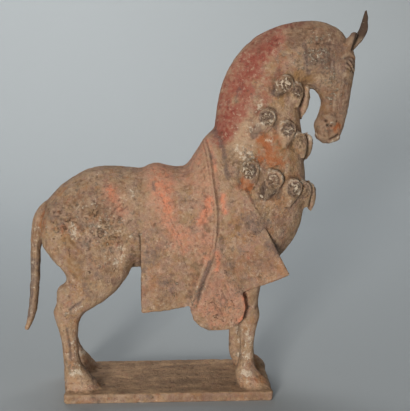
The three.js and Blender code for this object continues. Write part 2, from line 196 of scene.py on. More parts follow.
# %% Where the pendants are
# Each row has the radius and the depth of its bosses in millimetres. Then, for each pendant from the
# breast line outwards, the middle of the boss and the tip of the drop, as (x, z) in the side view, and
# how dirty the boss and the drop are.
ROWS = (
    (
        6.0,
        4.0,
        ((108.6, 235), (107.4, 217), 0.0, 0.0),
        ((100.5, 236.5), (98.6, 226), 0.7, 0.2),
        ((90, 242.5), (82.4, 235.4), 0.9, 1.0),
    ),
    (
        6.6,
        4.4,
        ((110.7, 197), (111.4, 184.4), 0.0, 0.0),
        ((102.9, 198.5), (103.4, 187), 0.3, 0.2),
        ((91.6, 208.4), (88.4, 195.6), 0.85, 0.2),
        ((74.6, 217.1), (66, 206.6), 0.85, 0.25),
    ),
    (
        7.0,
        4.8,
        ((113.3, 159), (115.4, 144), 0.0, 0.0),
        ((107, 160), (107.4, 148), 0.4, 0.2),
        ((96.8, 162.8), (91.4, 150.4), 0.85, 0.4),
        ((79.2, 170.4), (72.6, 156.6), 0.65, 0.95),
        ((61.6, 177.8), (57.8, 164.2), 0.85, 0.0),
    ),
)
BEYOND = 200.0  # a start for rays that is outside the horse, in millimetres
BREAST_GAP = 7.0  # a start for rays that is in front of the breast line and behind the muzzle
LUMP_REACH = 9.0  # how far round a boss its outward direction is averaged


class Pendant:
    """Where a boss and its drop sit: a centre on the boss's outer face and three directions. The side is
    -1 for the right, 1 for the left and 0 on the breast line."""

    def __init__(self, tree, faces, row, place, side):
        self.radius, self.depth = row[:2]
        boss, tip, self.boss_dirt, self.drop_dirt = row[2 + place]
        self.side = side
        self.centre = self.hit(tree, boss, side)
        centres, normals, areas = faces
        near = np.linalg.norm(centres - self.centre, axis=1) < LUMP_REACH
        out = Vector((normals[near] * areas[near, None]).sum(0)) if side else Vector((1, 0, 0))
        tip_at = self.hit(tree, tip, side)
        run = Vector(tip_at - self.centre)
        self.length = run.length
        self.down = run.normalized()
        self.out = (out - self.down * out.dot(self.down)).normalized()
        self.wide = self.down.cross(self.out)

    @staticmethod
    def hit(tree, place, side):
        """Where a ray meets the neck, sent from the side or, on the breast line, from the front."""
        x, z = place
        start = Vector((x, side * BEYOND, z)) if side else Vector((x + BREAST_GAP, 0, z))
        way = Vector((0, -side, 0)) if side else Vector((-1, 0, 0))
        return np.array(tree.ray_cast(start, way)[0])

    def local(self, points):
        """Points as (across, down, out), from the centre of the boss."""
        axes = np.array([self.wide, self.down, self.out])
        return (points - self.centre) @ axes.T


print(sum(len(row) - 2 for row in ROWS), "pendants are listed")

# %% Find the pendants on the neck
def rough_horse():
    """The frame's horse as a bmesh in millimetres, with its shared points merged."""
    made = bmesh.new()
    made.from_mesh(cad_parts[NODE].data)
    bmesh.ops.scale(made, vec=(1 / MM,) * 3, verts=made.verts)
    bmesh.ops.remove_doubles(made, verts=made.verts, dist=1e-4)
    return made


def find_pendants(rough):
    """Every pendant, those beside the breast line on both sides."""
    tree = BVHTree.FromBMesh(rough)
    centres = np.array([f.calc_center_median() for f in rough.faces])
    normals = np.array([f.normal for f in rough.faces])
    areas = np.array([f.calc_area() for f in rough.faces])
    found = []
    for row in ROWS:
        for place in range(len(row) - 2):
            for side in (-1, 1) if place else (0,):
                found.append(Pendant(tree, (centres, normals, areas), row, place, side))
    return found


rough = rough_horse()
PENDANTS = find_pendants(rough)
print(len(PENDANTS), "pendants on a rough horse of", len(rough.faces), "facets")

# %% Add the lumps and remesh
VOXEL = 0.95  # millimetres
BOSS_RADII = (1.16, 1.1, 1.12)  # two shares of the boss's radius and one of its depth
DROP_RADII = (1.02, 1.08, 0.82)  # shares of the boss's radius, half the drop's length and the boss's depth
DROP_LONGER = 0.5  # how much longer than from boss to tip the drop is, as a share of the radius
DROP_OVERLAP = 0.4  # how far it starts above the middle of the boss, as a share of the radius
DROP_SUNK = 0.85  # how far its middle lies under the boss's face, as a share of the depth
DROP_TAPER = 0.24  # how much narrower it gets


def add_lump(made, at, axes, radii):
    """A ball squeezed to three radii along three axes."""
    squeezed = [axis * radius for axis, radius in zip(axes, radii)]
    frame_of = Matrix(squeezed).transposed().to_4x4()
    frame_of.translation = at
    return bmesh.ops.create_icosphere(made, subdivisions=3, radius=1, matrix=frame_of)["verts"]


def add_pendant_lumps(made, pendant):
    """A round cap, and a drop that starts as wide as the cap and runs down to a blunt tip."""
    axes = (pendant.wide, pendant.down, pendant.out)
    radius, depth = pendant.radius, pendant.depth
    boss_at = Vector(pendant.centre) - pendant.out * depth
    add_lump(made, boss_at, axes, np.multiply(BOSS_RADII, (radius, radius, depth)))
    half = (pendant.length + radius * DROP_LONGER) / 2
    drop_at = Vector(pendant.centre) + pendant.down * (half - radius * DROP_OVERLAP)
    drop_at -= pendant.out * depth * DROP_SUNK
    for vert in add_lump(made, drop_at, axes, np.multiply(DROP_RADII, (radius, half, depth))):
        along = (vert.co - drop_at).dot(pendant.down) / half
        across = (vert.co - drop_at).dot(pendant.wide)
        vert.co -= pendant.wide * across * DROP_TAPER * along


def remeshed(made):
    """The skin of all the closed forms in a bmesh, as an even mesh of small quads."""
    mesh = bpy.data.meshes.new("blank")
    made.to_mesh(mesh)
    made.free()
    blank = bpy.data.objects.new("blank", mesh)
    bpy.context.scene.collection.objects.link(blank)
    skin = blank.modifiers.new("skin", "REMESH")
    skin.mode = "VOXEL"
    skin.voxel_size = VOXEL
    graph = bpy.context.evaluated_depsgraph_get()
    result = bpy.data.meshes.new_from_object(blank.evaluated_get(graph))
    bpy.data.objects.remove(blank)
    return result


for pendant in PENDANTS:
    add_pendant_lumps(rough, pendant)
clay_mesh = remeshed(rough)
print("the blank has", len(clay_mesh.vertices), "points and", len(clay_mesh.polygons), "faces")

# %% [markdown]
# ## Melting the facets
#
# The remeshed skin still shows the flat facets of the rough horse. Plain smoothing melts them, but it also
# melts rims and ornaments and thins the legs. Two remedies are used here. Each point is smoothed by how
# gently the skin curves round it, so that facets go and rims stay. And what a round of smoothing took
# away is itself smoothed and put back, which keeps the legs their full thickness.

# %% The clay as arrays
class Clay:
    """The points of a mesh in millimetres, with their normals and neighbours, to be shaped with numpy."""

    def __init__(self, mesh):
        self.mesh = mesh
        self.count = len(mesh.vertices)
        flat = np.empty(self.count * 3)
        mesh.vertices.foreach_get("co", flat)
        self.points = flat.reshape(-1, 3)
        edges = np.empty(len(mesh.edges) * 2, int)
        mesh.edges.foreach_get("vertices", edges)
        edges = edges.reshape(-1, 2)
        self.ends = np.concatenate([edges, edges[:, ::-1]])
        self.degree = np.bincount(self.ends[:, 0], minlength=self.count)[:, None]
        self.update()

    def around(self, values):
        """The mean of the values at each point's neighbours."""
        here, there = self.ends.T
        sums = [np.bincount(here, column[there], self.count) for column in values.T]
        return np.stack(sums, 1) / self.degree

    def spread(self, values, rounds, weight=1.0):
        """Values drawn towards their neighbours' mean, round after round."""
        for _ in range(rounds):
            values = values + 0.5 * weight * (self.around(values) - values)
        return values

    def smooth(self, rounds, weight=1.0):
        """Smooths the points, and puts back what this took from the broad form."""
        melted = self.spread(self.points, rounds, weight)
        self.points = melted + self.spread(self.points - melted, rounds, weight)
        self.update()

    def update(self):
        """Hands the points to the mesh and reads their normals back."""
        self.mesh.vertices.foreach_set("co", self.points.ravel())
        self.mesh.update()
        flat = np.empty(self.count * 3)
        self.mesh.vertex_normals.foreach_get("vector", flat)
        self.normals = flat.reshape(-1, 3)

    def push(self, heights):
        """Moves each point outwards by its height, in millimetres."""
        self.points = self.points + self.normals * heights[:, None]
        self.update()


def smoothstep(low, high, x):
    """0 at low and 1 at high, with a soft run between. Low may be the larger one."""
    t = np.clip((x - low) / (high - low), 0, 1)
    return t * t * (3 - 2 * t)


clay = Clay(clay_mesh)
print("the blank spans", np.round(np.ptp(clay.points, axis=0), 1), "mm")

# %% Melt the facets
GENTLE_ROUNDS = 14  # how far round a point its curving is judged
GENTLE = (0.84, 0.96)  # the length of the mean normal there, where smoothing starts and where it is full
PENDANT_NEAR = 10.0  # millimetres
SIDE_SPARED = 0.85  # of the melting near the pendants at the sides
MIDDLE_MELT = 0.7  # the least melting near the pendants on the breast line
EAR_SPARED = 0.7
EAR_HEIGHTS = (276, 284)  # the whole ear starts between these heights
EAR_REAR = 130
MELT_ROUNDS = 62
SETTLE_ROUNDS = 2


def melting():
    """How much each point is smoothed, from 0 to 1."""
    gentle = np.linalg.norm(clay.spread(clay.normals, GENTLE_ROUNDS), axis=1)
    melt = smoothstep(*GENTLE, gentle)
    for pendant in PENDANTS:
        middle = pendant.centre + np.array(pendant.down) * pendant.length / 3
        near = np.exp(-((np.linalg.norm(clay.points - middle, axis=1) / PENDANT_NEAR) ** 4))
        melt = melt * (1 - SIDE_SPARED * near) if pendant.side else np.maximum(melt, MIDDLE_MELT * near)
    on_ear = smoothstep(*EAR_HEIGHTS, clay.points[:, 2]) * (clay.points[:, 0] > EAR_REAR)
    return melt * (1 - EAR_SPARED * on_ear)


melt = melting()
clay.smooth(MELT_ROUNDS, melt[:, None])
clay.smooth(SETTLE_ROUNDS)
print("melted", round(float(melt.mean()) * 100), "% of the skin")

# %% [markdown]
# ## Leaves on the breast line
#
# The middle pendant of each row stands on the breast line, so the photograph shows it from its edge: a leaf
# that is thin at both ends and fullest above its middle. The lump there is too full for that. It is cut
# down as a potter would with a wire, by pressing back every point that stands out past the leaf's curve.

# %% Give the middle pendants the outline of a leaf
LEAF_THICK = 5.6  # millimetres
LEAF_SKEW = 0.72  # below 1 the thickest place is above the middle
LEAF_ROUND = 0.7  # below 1 the leaf is blunt
LEAF_STANDS = 0.6  # millimetres in front of the boss's face
LEAF_PAST = (0.8, 0.45)  # how far it reaches above the boss and below the tip, as shares of the radius
LEAF_HALF_WIDTH = 1.4  # a share of the radius
LEAF_MARGIN = 3  # millimetres
LEAF_DEPTHS = (-9, 1.4)  # millimetres, behind which and before which nothing is pressed
FACING = -0.2  # points that face backwards by more than this are left


def press_into_leaf(pendant):
    """Presses back what stands out past a leaf's outline, seen from the side."""
    across, down, out = pendant.local(clay.points).T
    top = -LEAF_PAST[0] * pendant.radius
    tip = pendant.length + LEAF_PAST[1] * pendant.radius
    along = np.clip((down - top) / (tip - top), 0, 1)
    limit = LEAF_THICK * (np.sin(np.pi * along**LEAF_SKEW) ** LEAF_ROUND - 1) + LEAF_STANDS
    near = (down > top - LEAF_MARGIN) & (down < tip + LEAF_MARGIN)
    near &= np.abs(across) < LEAF_HALF_WIDTH * pendant.radius
    near &= (out > LEAF_DEPTHS[0]) & (out < LEAF_DEPTHS[1])
    near &= clay.normals @ np.array(pendant.out) > FACING
    past = np.where(near, np.maximum(out - limit, 0), 0)
    clay.points = clay.points - past[:, None] * np.array(pendant.out)


for pendant in PENDANTS:
    if pendant.side == 0:
        press_into_leaf(pendant)
clay.smooth(SETTLE_ROUNDS)
print("the middle pendants are", LEAF_THICK, "mm thick")

# %% [markdown]
# ## Strokes
#
# The potter drew the small forms with a stick and a finger: seams of the saddle cloth, folds, lids and
# lips. Each is a stroke here: a run of places in the side view, a half width, and a height that is
# negative for a groove. Every point of the clay asks how far it is from the stroke and moves along its
# normal. A sculpting brush does the same by hand, but a list of strokes can be read and changed.

# %% Measure from strokes
BOTH, RIGHT = (-1, 1), (-1,)
CLOTH_HALF = 33.0  # from the middle plane to just inside the hanging cloth
CLOTH_FREE = 124.0  # the cloth hangs clear of the barrel below this height
CLOTH_SPAN = (-24.0, 96.0)
LEGS_SHOW = 57.0  # below this height nothing hangs beside the legs
FORELEG_FRONT, FORELEG_SHOWS = 66.0, 84.0  # before this x the foreleg shows up to this height


def from_side(path):
    """For each point of the clay seen from the side: its distance to the path, and on which side of the
    path it is, as a distance that is positive to the left of the way the path runs."""
    seen = clay.points[:, [0, 2]]
    best = np.full(clay.count, np.inf)
    signed = np.zeros(clay.count)
    places = np.array(path, float).reshape(-1, 2)
    if len(places) == 1:
        places = places + [[0, 0], [0.01, 0]]
    for start, end in zip(places, places[1:]):
        run = end - start
        length = np.linalg.norm(run)
        offset = seen - start
        share = np.clip(offset @ run / length**2, 0, 1)
        distance = np.linalg.norm(offset - share[:, None] * run, axis=1)
        left = (run[0] * offset[:, 1] - run[1] * offset[:, 0]) / length
        closer = distance < best
        best[closer] = distance[closer]
        signed[closer] = np.sign(left[closer]) * distance[closer]
    return best, signed


def on_side(sides):
    """1 where the clay faces the sides that are asked for, and is not hidden behind the hanging cloth."""
    x, y, z = clay.points.T
    behind = (np.abs(y) < CLOTH_HALF) & (z < CLOTH_FREE) & (x > CLOTH_SPAN[0]) & (x < CLOTH_SPAN[1])
    low = (z < LEGS_SHOW) | ((x > FORELEG_FRONT) & (z < FORELEG_SHOWS))
    shown = np.where(behind & ~low, 0.0, 1.0)
    return shown * sum(smoothstep(-0.05, 0.3, side * clay.normals[:, 1]) for side in sides)


def stroke(path, width, sides=BOTH):
    """1 along a path, falling to 0 over a few half widths."""
    distance, _ = from_side(path)
    return np.exp(-((distance / width) ** 2)) * on_side(sides)


def ledge(path, soft, run):
    """1 just to the left of a path, 0 to its right, and back to 0 over a run."""
    distance, signed = from_side(path)
    return smoothstep(-soft, soft, signed) * (1 - smoothstep(soft, run, distance)) * on_side(BOTH)


def shifted(path, right):
    """A path moved sideways, to the right of the way it runs."""
    places = np.array(path, float)
    run = np.gradient(places, axis=0)
    run /= np.linalg.norm(run, axis=1)[:, None]
    return places + right * np.stack([run[:, 1], -run[:, 0]], 1)


def pressed(strokes, sides=BOTH):
    """The relief of several strokes, each with a height in millimetres, a half width and a path."""
    return sum(height * stroke(path, width, sides) for height, width, path in strokes)


def press_in(what, relief):
    """Moves the clay by a relief, and says how deep and how high it goes."""
    clay.push(relief)
    print(what, "relief", round(float(relief.min()), 2), "to", round(float(relief.max()), 2), "mm")


print("a stroke on the girth reaches", int((stroke((35, 140), 5) > 0.5).sum()), "points")

# %% [markdown]
# ## Saddle cloth
#
# A cloth lies over the saddle and hangs to stiff mudguards. Its front edge climbs to the pommel. A folded
# strap runs from the pommel down to the round lobe, with a raised welt along its rear edge. A ledge
# makes an edge of cloth, and a pair of grooves beside a ridge makes a welt.

# %% Press the saddle cloth
WELT = (
    (27.4, 198.5), (29.6, 190), (31.2, 180), (32.6, 167), (34.4, 156), (35.2, 144.6), (34.9, 131.5),
    (32.6, 118), (30.4, 110), (26.6, 100.5), (21.8, 88), (18.4, 76),
)
STRAP_FRONT = (
    (29.1, 199), (33.5, 190.6), (37.1, 183), (39.5, 170.5), (41.6, 150), (42.6, 124), (40.4, 108),
)
STRAP_TUCK = ((31.6, 109), (28.4, 101), (25, 92), (21, 80))
CLOTH_FRONT = ((36, 206), (40.4, 199.5), (43.6, 189), (49.6, 176.3), (58.6, 162.8), (66, 150))
FRONT_FADES = (178, 150)  # the front edge stands out fully below the lower of these heights
CLOTH_REAR = ((-13, 182), (-18.5, 172), (-20.6, 160), (-21, 148))
REAR_SEAM = (
    (-10.5, 180), (-9.2, 167), (-5.1, 158), (-1.2, 149), (3.4, 138), (8.1, 130), (12.6, 108), (17.1, 100),
)
LOBE_GATHERS = (
    ((42.6, 92), (46.4, 84), (49.4, 76)),
    ((40.4, 88), (43.4, 80), (45.2, 73.6)),
    ((47.4, 89), (50.6, 83.4)),
    ((33.8, 82), (35.6, 74)),
    ((38.6, 74), (41.6, 66.4)),
)


CLOTH_STROKES = (
    # a height in millimetres, a half width and a path
    (0.55, 0.9, shifted(WELT, -1.3)),
    (-0.6, 0.8, shifted(WELT, -2.9)),
    (-0.5, 0.8, shifted(WELT, 0.3)),
    (-0.25, 0.7, REAR_SEAM),
    (-0.2, 0.7, shifted(REAR_SEAM, 2.3)),
    (-1.1, 1.4, STRAP_TUCK),
    *((-0.42, 0.9, gather) for gather in LOBE_GATHERS),
)


def saddle_cloth():
    height = 0.8 * ledge(CLOTH_FRONT[::-1], 0.9, 16) * smoothstep(*FRONT_FADES, clay.points[:, 2])
    height += 0.3 * ledge(CLOTH_REAR, 1.2, 12) + 0.35 * ledge(STRAP_FRONT, 1.2, 8)
    return height + pressed(CLOTH_STROKES)


press_in("saddle cloth", saddle_cloth())

# %% [markdown]
# ## Head and neck
#
# The head is simple: a heavy cheek, a bulging eye under a brow, a pinched muzzle with drilled nostrils
# and a cut mouth. The mane is clipped and lies flat, so it is only a low ledge along the crest. A stroke
# moves the clay sideways. Where the outline itself is to swell, at the chin and the lower lip, the height
# goes only to the points that face that way.

# %% Model the head
MANE_EDGE = (
    (41.7, 192.5), (49.4, 201.5), (59.2, 215.2), (66.8, 230.4), (74.6, 249.2), (80, 259), (86.3, 269.5),
    (102, 281.7), (116.6, 288),
)
LIDS = (
    ((138.2, 258.6), (141.3, 254.6), (144.8, 250.7)),
    ((138.4, 254.2), (140.8, 252.6), (143.4, 251.4)),
    ((140.7, 260.2), (142.6, 257.6), (144.9, 254.6)),
    ((136.4, 261.6), (140.6, 263.2), (144.6, 261.2)),
)
LID_FOLDS = (
    ((139.6, 259.6), (142.0, 256.2), (144.8, 252.6)),
    ((137.4, 256.2), (139.9, 253.9), (143.2, 251.8)),
    ((142.2, 261.2), (144.4, 257.6)),
)
BROW = ((134.4, 262.4), (137.6, 264.8), (141, 264.9), (144.4, 262.4))
EAR_GAP = ((146.6, 281.6), (144.8, 275), (142.6, 268))
EAR_HOLLOW = ((143, 266), (149.6, 273), (154.4, 281), (156.6, 289))
CHEEK_REAR = ((106.1, 272.6), (106.4, 260.5), (107.8, 248.4))
CHEEK_FRONT = ((124, 262), (127.6, 253), (126.4, 244), (121.6, 237.5))
NOSE_BONE = ((136, 250), (131.5, 234), (129, 222))
NOSTRIL_RIM = ((122.4, 217.4), (126.0, 218.0), (129.2, 215.8), (129.8, 211.0), (127.4, 207.6))
NOSTRIL_HOLES = (
    # where each hole is, and its radius and depth
    ((123.2, 214.0), 1.15, 2.4),
    ((124.4, 210.4), 1.2, 2.4),
    ((127.3, 209.9), 0.85, 1.6),
    ((131.6, 213.4), 0.8, 1.0),
)
MOUTH = ((127.2, 199.4), (130.4, 201.3), (133.2, 203.2))
LOWER_LIP = ((127.0, 196.8), (130.6, 198.6), (134.2, 200.9))
CHIN_LINE = ((125.6, 208.6), (126.0, 205), (126.4, 200.6))
CHEEK_SCRATCHES = (
    ((124.7, 262), (125.6, 251), (127.2, 240)),
    ((128, 259), (129, 247), (129.6, 236)),
    ((130.9, 259), (131.4, 248), (131.4, 236.2)),
    ((134, 250), (134.6, 241), (135, 231.5)),
)


HEAD_STROKES = (
    # the eye in its socket
    (-0.7, 5.4, (141, 255)),
    (0.9, 1.6, BROW),
    *((0.75, 1.0, fold) for fold in LID_FOLDS),
    *((-0.85, 0.65, lid) for lid in LIDS),
    (1.3, 2.2, ((138.6, 249.2), (140.8, 249.4))),
    (0.6, 1.0, (143.6, 248.4)),
    # the cheek and the bone of the nose
    (0.9, 8.5, (116, 252)),
    (-0.4, 3.0, CHEEK_FRONT),
    (-0.35, 1.1, CHEEK_REAR),
    (0.45, 2.4, NOSE_BONE),
    (-0.7, 5.0, (126, 229)),
    # the muzzle
    (0.9, 1.3, NOSTRIL_RIM),
    *((-depth, radius, hole) for hole, radius, depth in NOSTRIL_HOLES),
    (-1.3, 0.8, MOUTH),
    (-0.5, 0.8, CHIN_LINE),
    (0.9, 1.0, LOWER_LIP),
    (0.9, 2.4, (118.6, 201.0)),
)
RIGHT_STROKES = ((-1.1, 0.7, EAR_GAP), *((-0.22, 0.5, scratch) for scratch in CHEEK_SCRATCHES))
SWELLINGS = (
    # a height, a half width, a place, and the way (x, z) that the outline faces there
    (3.0, 4.8, (113.0, 211.8), (-1, 0)),
    (1.3, 3.2, (132.6, 200.0), (0.6, -0.8)),
)
MANE_FADES = (205, 222)
EAR_FACES = (0.84, 0, -0.54)
EAR_MIDDLE = 7  # the whole ear is on the left


def swelling(place, width, way):
    """Moves the outline itself: 1 round a place, where the clay faces the way that is given."""
    distance, _ = from_side(place)
    facing = smoothstep(0.1, 0.7, clay.normals @ np.array([way[0], 0, way[1]]))
    return np.exp(-((distance / width) ** 2)) * facing


def head():
    height = pressed(HEAD_STROKES) + pressed(RIGHT_STROKES, RIGHT)
    for amount, width, place, way in SWELLINGS:
        height += amount * swelling(place, width, way)
    return height


def mane():
    return 0.3 * ledge(MANE_EDGE, 1.6, 14) * smoothstep(*MANE_FADES, clay.points[:, 2])


def ear_hollow():
    distance, _ = from_side(EAR_HOLLOW)
    forward = smoothstep(0.2, 0.8, clay.normals @ np.array(EAR_FACES))
    across = (clay.points[:, 1] - EAR_MIDDLE) / 2.4
    return -1.6 * np.exp(-((distance / 3.4) ** 2)) * np.exp(-(across**2)) * forward


press_in("head and mane", head() + mane() + ear_hollow())

# %% [markdown]
# ## Legs and tail
#
# The legs have a knee or a hock, a cannon with a tendon behind it, and a foot that widens straight into
# the hoof. One groove marks the top of the hoof. The tail is a tapered roll with a few drawn lines.

# %% Model the legs and tail
HOCK_LINE = ((-75.1, 71.6), (-70.5, 76), (-64, 80))
HIND_TENDON = ((-78.7, 59), (-76.7, 47.7), (-75.6, 39.6), (-75, 31))
FORE_TENDON = ((58.6, 54), (58.4, 42), (58, 31))
THIGH_LINE = ((-84, 118), (-80, 106), (-71, 97))
TAIL_LINES = (
    ((-98, 146), (-101.6, 135), (-104, 118), (-105.2, 100), (-107, 78), (-110.4, 60)),
    ((-101.6, 146), (-104.8, 132), (-106.4, 114), (-107, 96), (-108.8, 78), (-112, 62)),
)
HOOF_TOPS = (((50, 12), (62, 14.6), (77, 17)), ((-84, 12), (-72, 14.4), (-55, 15.6)))
FEET = (8.6, 24)  # heights between which a foot is
LEG_STROKES = (
    (-0.5, 0.9, HOCK_LINE),
    (-0.6, 1.1, HIND_TENDON),
    (-0.45, 1.0, FORE_TENDON),
    (-0.5, 2.2, THIGH_LINE),
    # bones of the hock and the knee, and the two folds of the knee
    (0.6, 3.4, (-69, 68)),
    (0.5, 3.0, (-85, 70)),
    (0.5, 3.4, (69, 64)),
    (-0.35, 1.0, ((56, 57.4), (70, 58))),
    (-0.3, 1.0, ((55, 71), (70, 71.6))),
)
TAIL_STROKES = [(-0.3, 0.7, line) for line in TAIL_LINES]


def hoof_grooves():
    """The grooves at the tops of the hooves. They run all round, so they are not strokes on one side."""
    z = clay.points[:, 2]
    feet = (z > FEET[0]) & (z < FEET[1])
    height = np.zeros(clay.count)
    for line in HOOF_TOPS:
        distance, _ = from_side(line)
        height -= 0.45 * np.exp(-((distance / 0.9) ** 2)) * feet
    return height


press_in("legs and tail", pressed(LEG_STROKES) + hoof_grooves() + pressed(TAIL_STROKES))

# %% [markdown]
# ## Pendants
#
# Each cap has raised and sunk arcs, half worn away, with a few dimples between. Polar coordinates on the
# cap give the arcs directly, and a seeded random choice turns each one and places the dimples, because no
# two on the real neck are alike. Between the arcs the worn pattern is a maze of ridges, which noise gives
# where it passes through zero. The drop below stays smooth.

# %% Noise in clay
NOISE_FALLOFF = 0.9
NOISE_STEP = 2.1  # how many times smaller each octave's lumps are


def noise_at(points, size, octaves=1, seed=0.0):
    """Noise between about -1 and 1 with lumps of the given size."""
    shift = Vector((seed, 1.7 * seed, -seed))
    values = [noise.fractal(Vector(p) / size + shift, NOISE_FALLOFF, NOISE_STEP, octaves) for p in points]
    return np.array(values)


print("noise on the first points", np.round(noise_at(clay.points[:3], 5.0), 2))

# %% Press the bosses
HOLES = 7  # dimples in each boss
ARCS = ((0.92, 0.11, 0.45), (0.70, 0.09, -0.5))  # radius, width and height
SQUIGGLE = 3.8  # the size of the worn pattern between them, in millimetres
SQUIGGLE_HEIGHT = 0.7
SQUIGGLE_WIDTH = 0.22  # in the noise's own measure
boss_luck = np.random.default_rng(3)


def boss_relief(pendant):
    """Arcs, worn squiggles and dimples on one cap."""
    across, down, out = pendant.local(clay.points).T
    radius = np.hypot(across, down) / pendant.radius
    near = smoothstep(-1.5, -1.0, out / pendant.depth) * (out < 3) * smoothstep(1.25, 1.05, radius)
    angle = np.arctan2(across, down)
    height = np.zeros(clay.count)
    for far, width, amount in ARCS:
        worn_away = 0.5 + 0.5 * np.cos(angle + boss_luck.uniform(2.0, 4.2))
        height += amount * np.exp(-(((radius - far) / width) ** 2)) * worn_away
    close = np.flatnonzero(near)
    ridges = np.abs(noise_at(clay.points[close], SQUIGGLE, 1, boss_luck.uniform(0, 90)))
    squiggles = 0.5 - np.minimum(ridges / SQUIGGLE_WIDTH, 1)
    height[close] += SQUIGGLE_HEIGHT * squiggles * smoothstep(1.0, 0.8, radius[close])
    for hole in range(HOLES):
        way = 2 * math.pi * (hole + boss_luck.uniform(-0.4, 0.4)) / HOLES
        far = boss_luck.uniform(0.15, 0.85) * pendant.radius
        offset = np.hypot(across - far * math.sin(way), down - far * math.cos(way))
        height -= boss_luck.uniform(0.4, 1.0) * np.exp(-((offset / boss_luck.uniform(0.6, 1.1)) ** 2))
    return height * near


press_in("bosses", sum(boss_relief(pendant) for pendant in PENDANTS))

# %% [markdown]
# ## Wear
#
# Nothing on the real surface is smooth. The hand left shallow dents, the ground left pits and a gritty
# crust, and the rims of the slab and the mudguards are chipped. Noise of three sizes makes the dents and
# the grit. Pits are scattered by a seeded random choice of points, thickly where the photograph is most
# pitted, and most are drawn out to scratches. Faces that nobody sees stay smooth, which saves triangles
# later.

# %% Wear the surface
pit_luck = np.random.default_rng(6)
DENTS = ((15.0, 0.30, 2), (5.2, 0.22, 2), (2.4, 0.16, 1))  # size and height in millimetres, and octaves
PIT_ZONES = (
    # the middle and the radius of a zone in the side view, how many pits, and their radii
    ((-48, 138), 20, 190, (0.6, 1.4)),
    ((-76, 136), 16, 90, (0.6, 1.3)),
    ((110, 262), 14, 60, (0.5, 1.0)),
    ((100, 275), 16, 40, (0.5, 1.0)),
    ((30, 100), 60, 60, (0.5, 0.8)),
    ((60, 190), 50, 60, (0.5, 0.9)),
    ((-20, 150), 120, 90, (0.5, 1.0)),
    ((-70, 40), 40, 50, (0.5, 1.0)),
    ((120, 270), 9, 70, (0.5, 0.9)),
    ((123, 250), 12, 50, (0.5, 0.9)),
    ((107, 264), 5, 24, (0.5, 0.8)),
    ((126, 206), 9, 24, (0.5, 0.9)),
    ((-45, 3), 34, 60, (0.5, 1.1)),
    ((40, 3), 34, 60, (0.5, 1.1)),
)
PIT_LENGTH = 2.4  # how much longer than wide a pit is, on average
# the middle and the radius of a gritty zone, and how gritty it is
GRITTY = (((-50, 136), 26, 1.0), ((-84, 150), 16, 0.5), ((-72, 74), 12, 0.6), ((112, 262), 18, 0.6))
FLAP_X, FLAP_Y, FLAP_Z = (-24, 94), (31, 36.5), (66, 118)  # a box round the inner face of a mudguard
SLAB_RIM = 9  # the slab's rim is chipped more, below this height


def seen_clay():
    """1 where the clay can be seen, 0 under the slab and inside the mudguards."""
    x, y, z = clay.points.T
    in_flap = (np.abs(y) > FLAP_Y[0]) & (np.abs(y) < FLAP_Y[1])
    in_flap &= (x > FLAP_X[0]) & (x < FLAP_X[1]) & (z > FLAP_Z[0]) & (z < FLAP_Z[1])
    inward = np.sign(y) * clay.normals[:, 1] < -0.3
    underside = (z < 1) & (clay.normals[:, 2] < -0.8)
    return np.where((in_flap & inward) | underside, 0.0, 1.0)


def zone(middle, radius):
    """1 in the middle of a round zone of the side view, fading out past its radius."""
    x, _, z = clay.points.T
    return np.exp(-(((x - middle[0]) ** 2 + (z - middle[1]) ** 2) / radius**2))


def dents():
    """Shallow dents of three sizes, and grit."""
    height = np.zeros(clay.count)
    for seed, (size, amount, octaves) in enumerate(DENTS):
        height += amount * noise_at(clay.points, size, octaves, seed)
    grit = sum(strength * zone(middle, radius) for middle, radius, strength in GRITTY)
    height += 0.35 * grit * np.abs(noise_at(clay.points, 3.1, 2, 9.0)) - 0.1 * grit
    return height * seen_clay()


def pits():
    """Pits and short scratches, each with a length of its own and running its own way."""
    height = np.zeros(clay.count)
    for middle, radius, count, radii in PIT_ZONES:
        chance = zone(middle, radius) * seen_clay()
        for centre in pit_luck.choice(clay.count, count, p=chance / chance.sum()):
            size = pit_luck.uniform(*radii)
            longer = 1 + pit_luck.exponential(PIT_LENGTH)
            way = pit_luck.normal(size=3)
            way /= np.linalg.norm(way)
            offset = clay.points - clay.points[centre]
            along = offset @ way
            across = (offset**2).sum(1) - along**2
            height -= 0.6 * size * np.exp(-(across + (along / longer) ** 2) / size**2)
    return height


def chips():
    """Bites out of rims: where the mean normal is short, and noise is high."""
    rim = 1 - smoothstep(0.55, 0.86, np.linalg.norm(clay.spread(clay.normals, 11), axis=1))
    bites = smoothstep(0.05, 0.4, noise_at(clay.points, 6.0, 2, 4.0))
    low = clay.points[:, 2] < SLAB_RIM
    return -(0.35 + 0.75 * low) * rim * bites


press_in("chips", chips())
press_in("dents and pits", dents() + pits())

# %% [markdown]
# ## A mesh that is fine where it matters
#
# The even skin has more triangles than a piece may have, and most lie on calm surfaces. The Decimate
# modifier removes points where the surface is flattest first, so seams, lids and bosses keep theirs.

# %% Thin out the mesh
TRIANGLES = 196_000


def thinned(mesh, triangles):
    """A mesh with fewer triangles, where the surface is flattest."""
    mesh.calc_loop_triangles()
    worker = bpy.data.objects.new("worker", mesh)
    bpy.context.scene.collection.objects.link(worker)
    fewer = worker.modifiers.new("fewer", "DECIMATE")
    fewer.ratio = triangles / len(mesh.loop_triangles)
    graph = bpy.context.evaluated_depsgraph_get()
    result = bpy.data.meshes.new_from_object(worker.evaluated_get(graph))
    bpy.data.objects.remove(worker)
    return result


clay = Clay(thinned(clay_mesh, TRIANGLES))
clay.mesh.calc_loop_triangles()
print("thinned to", len(clay.mesh.loop_triangles), "triangles and", clay.count, "points")

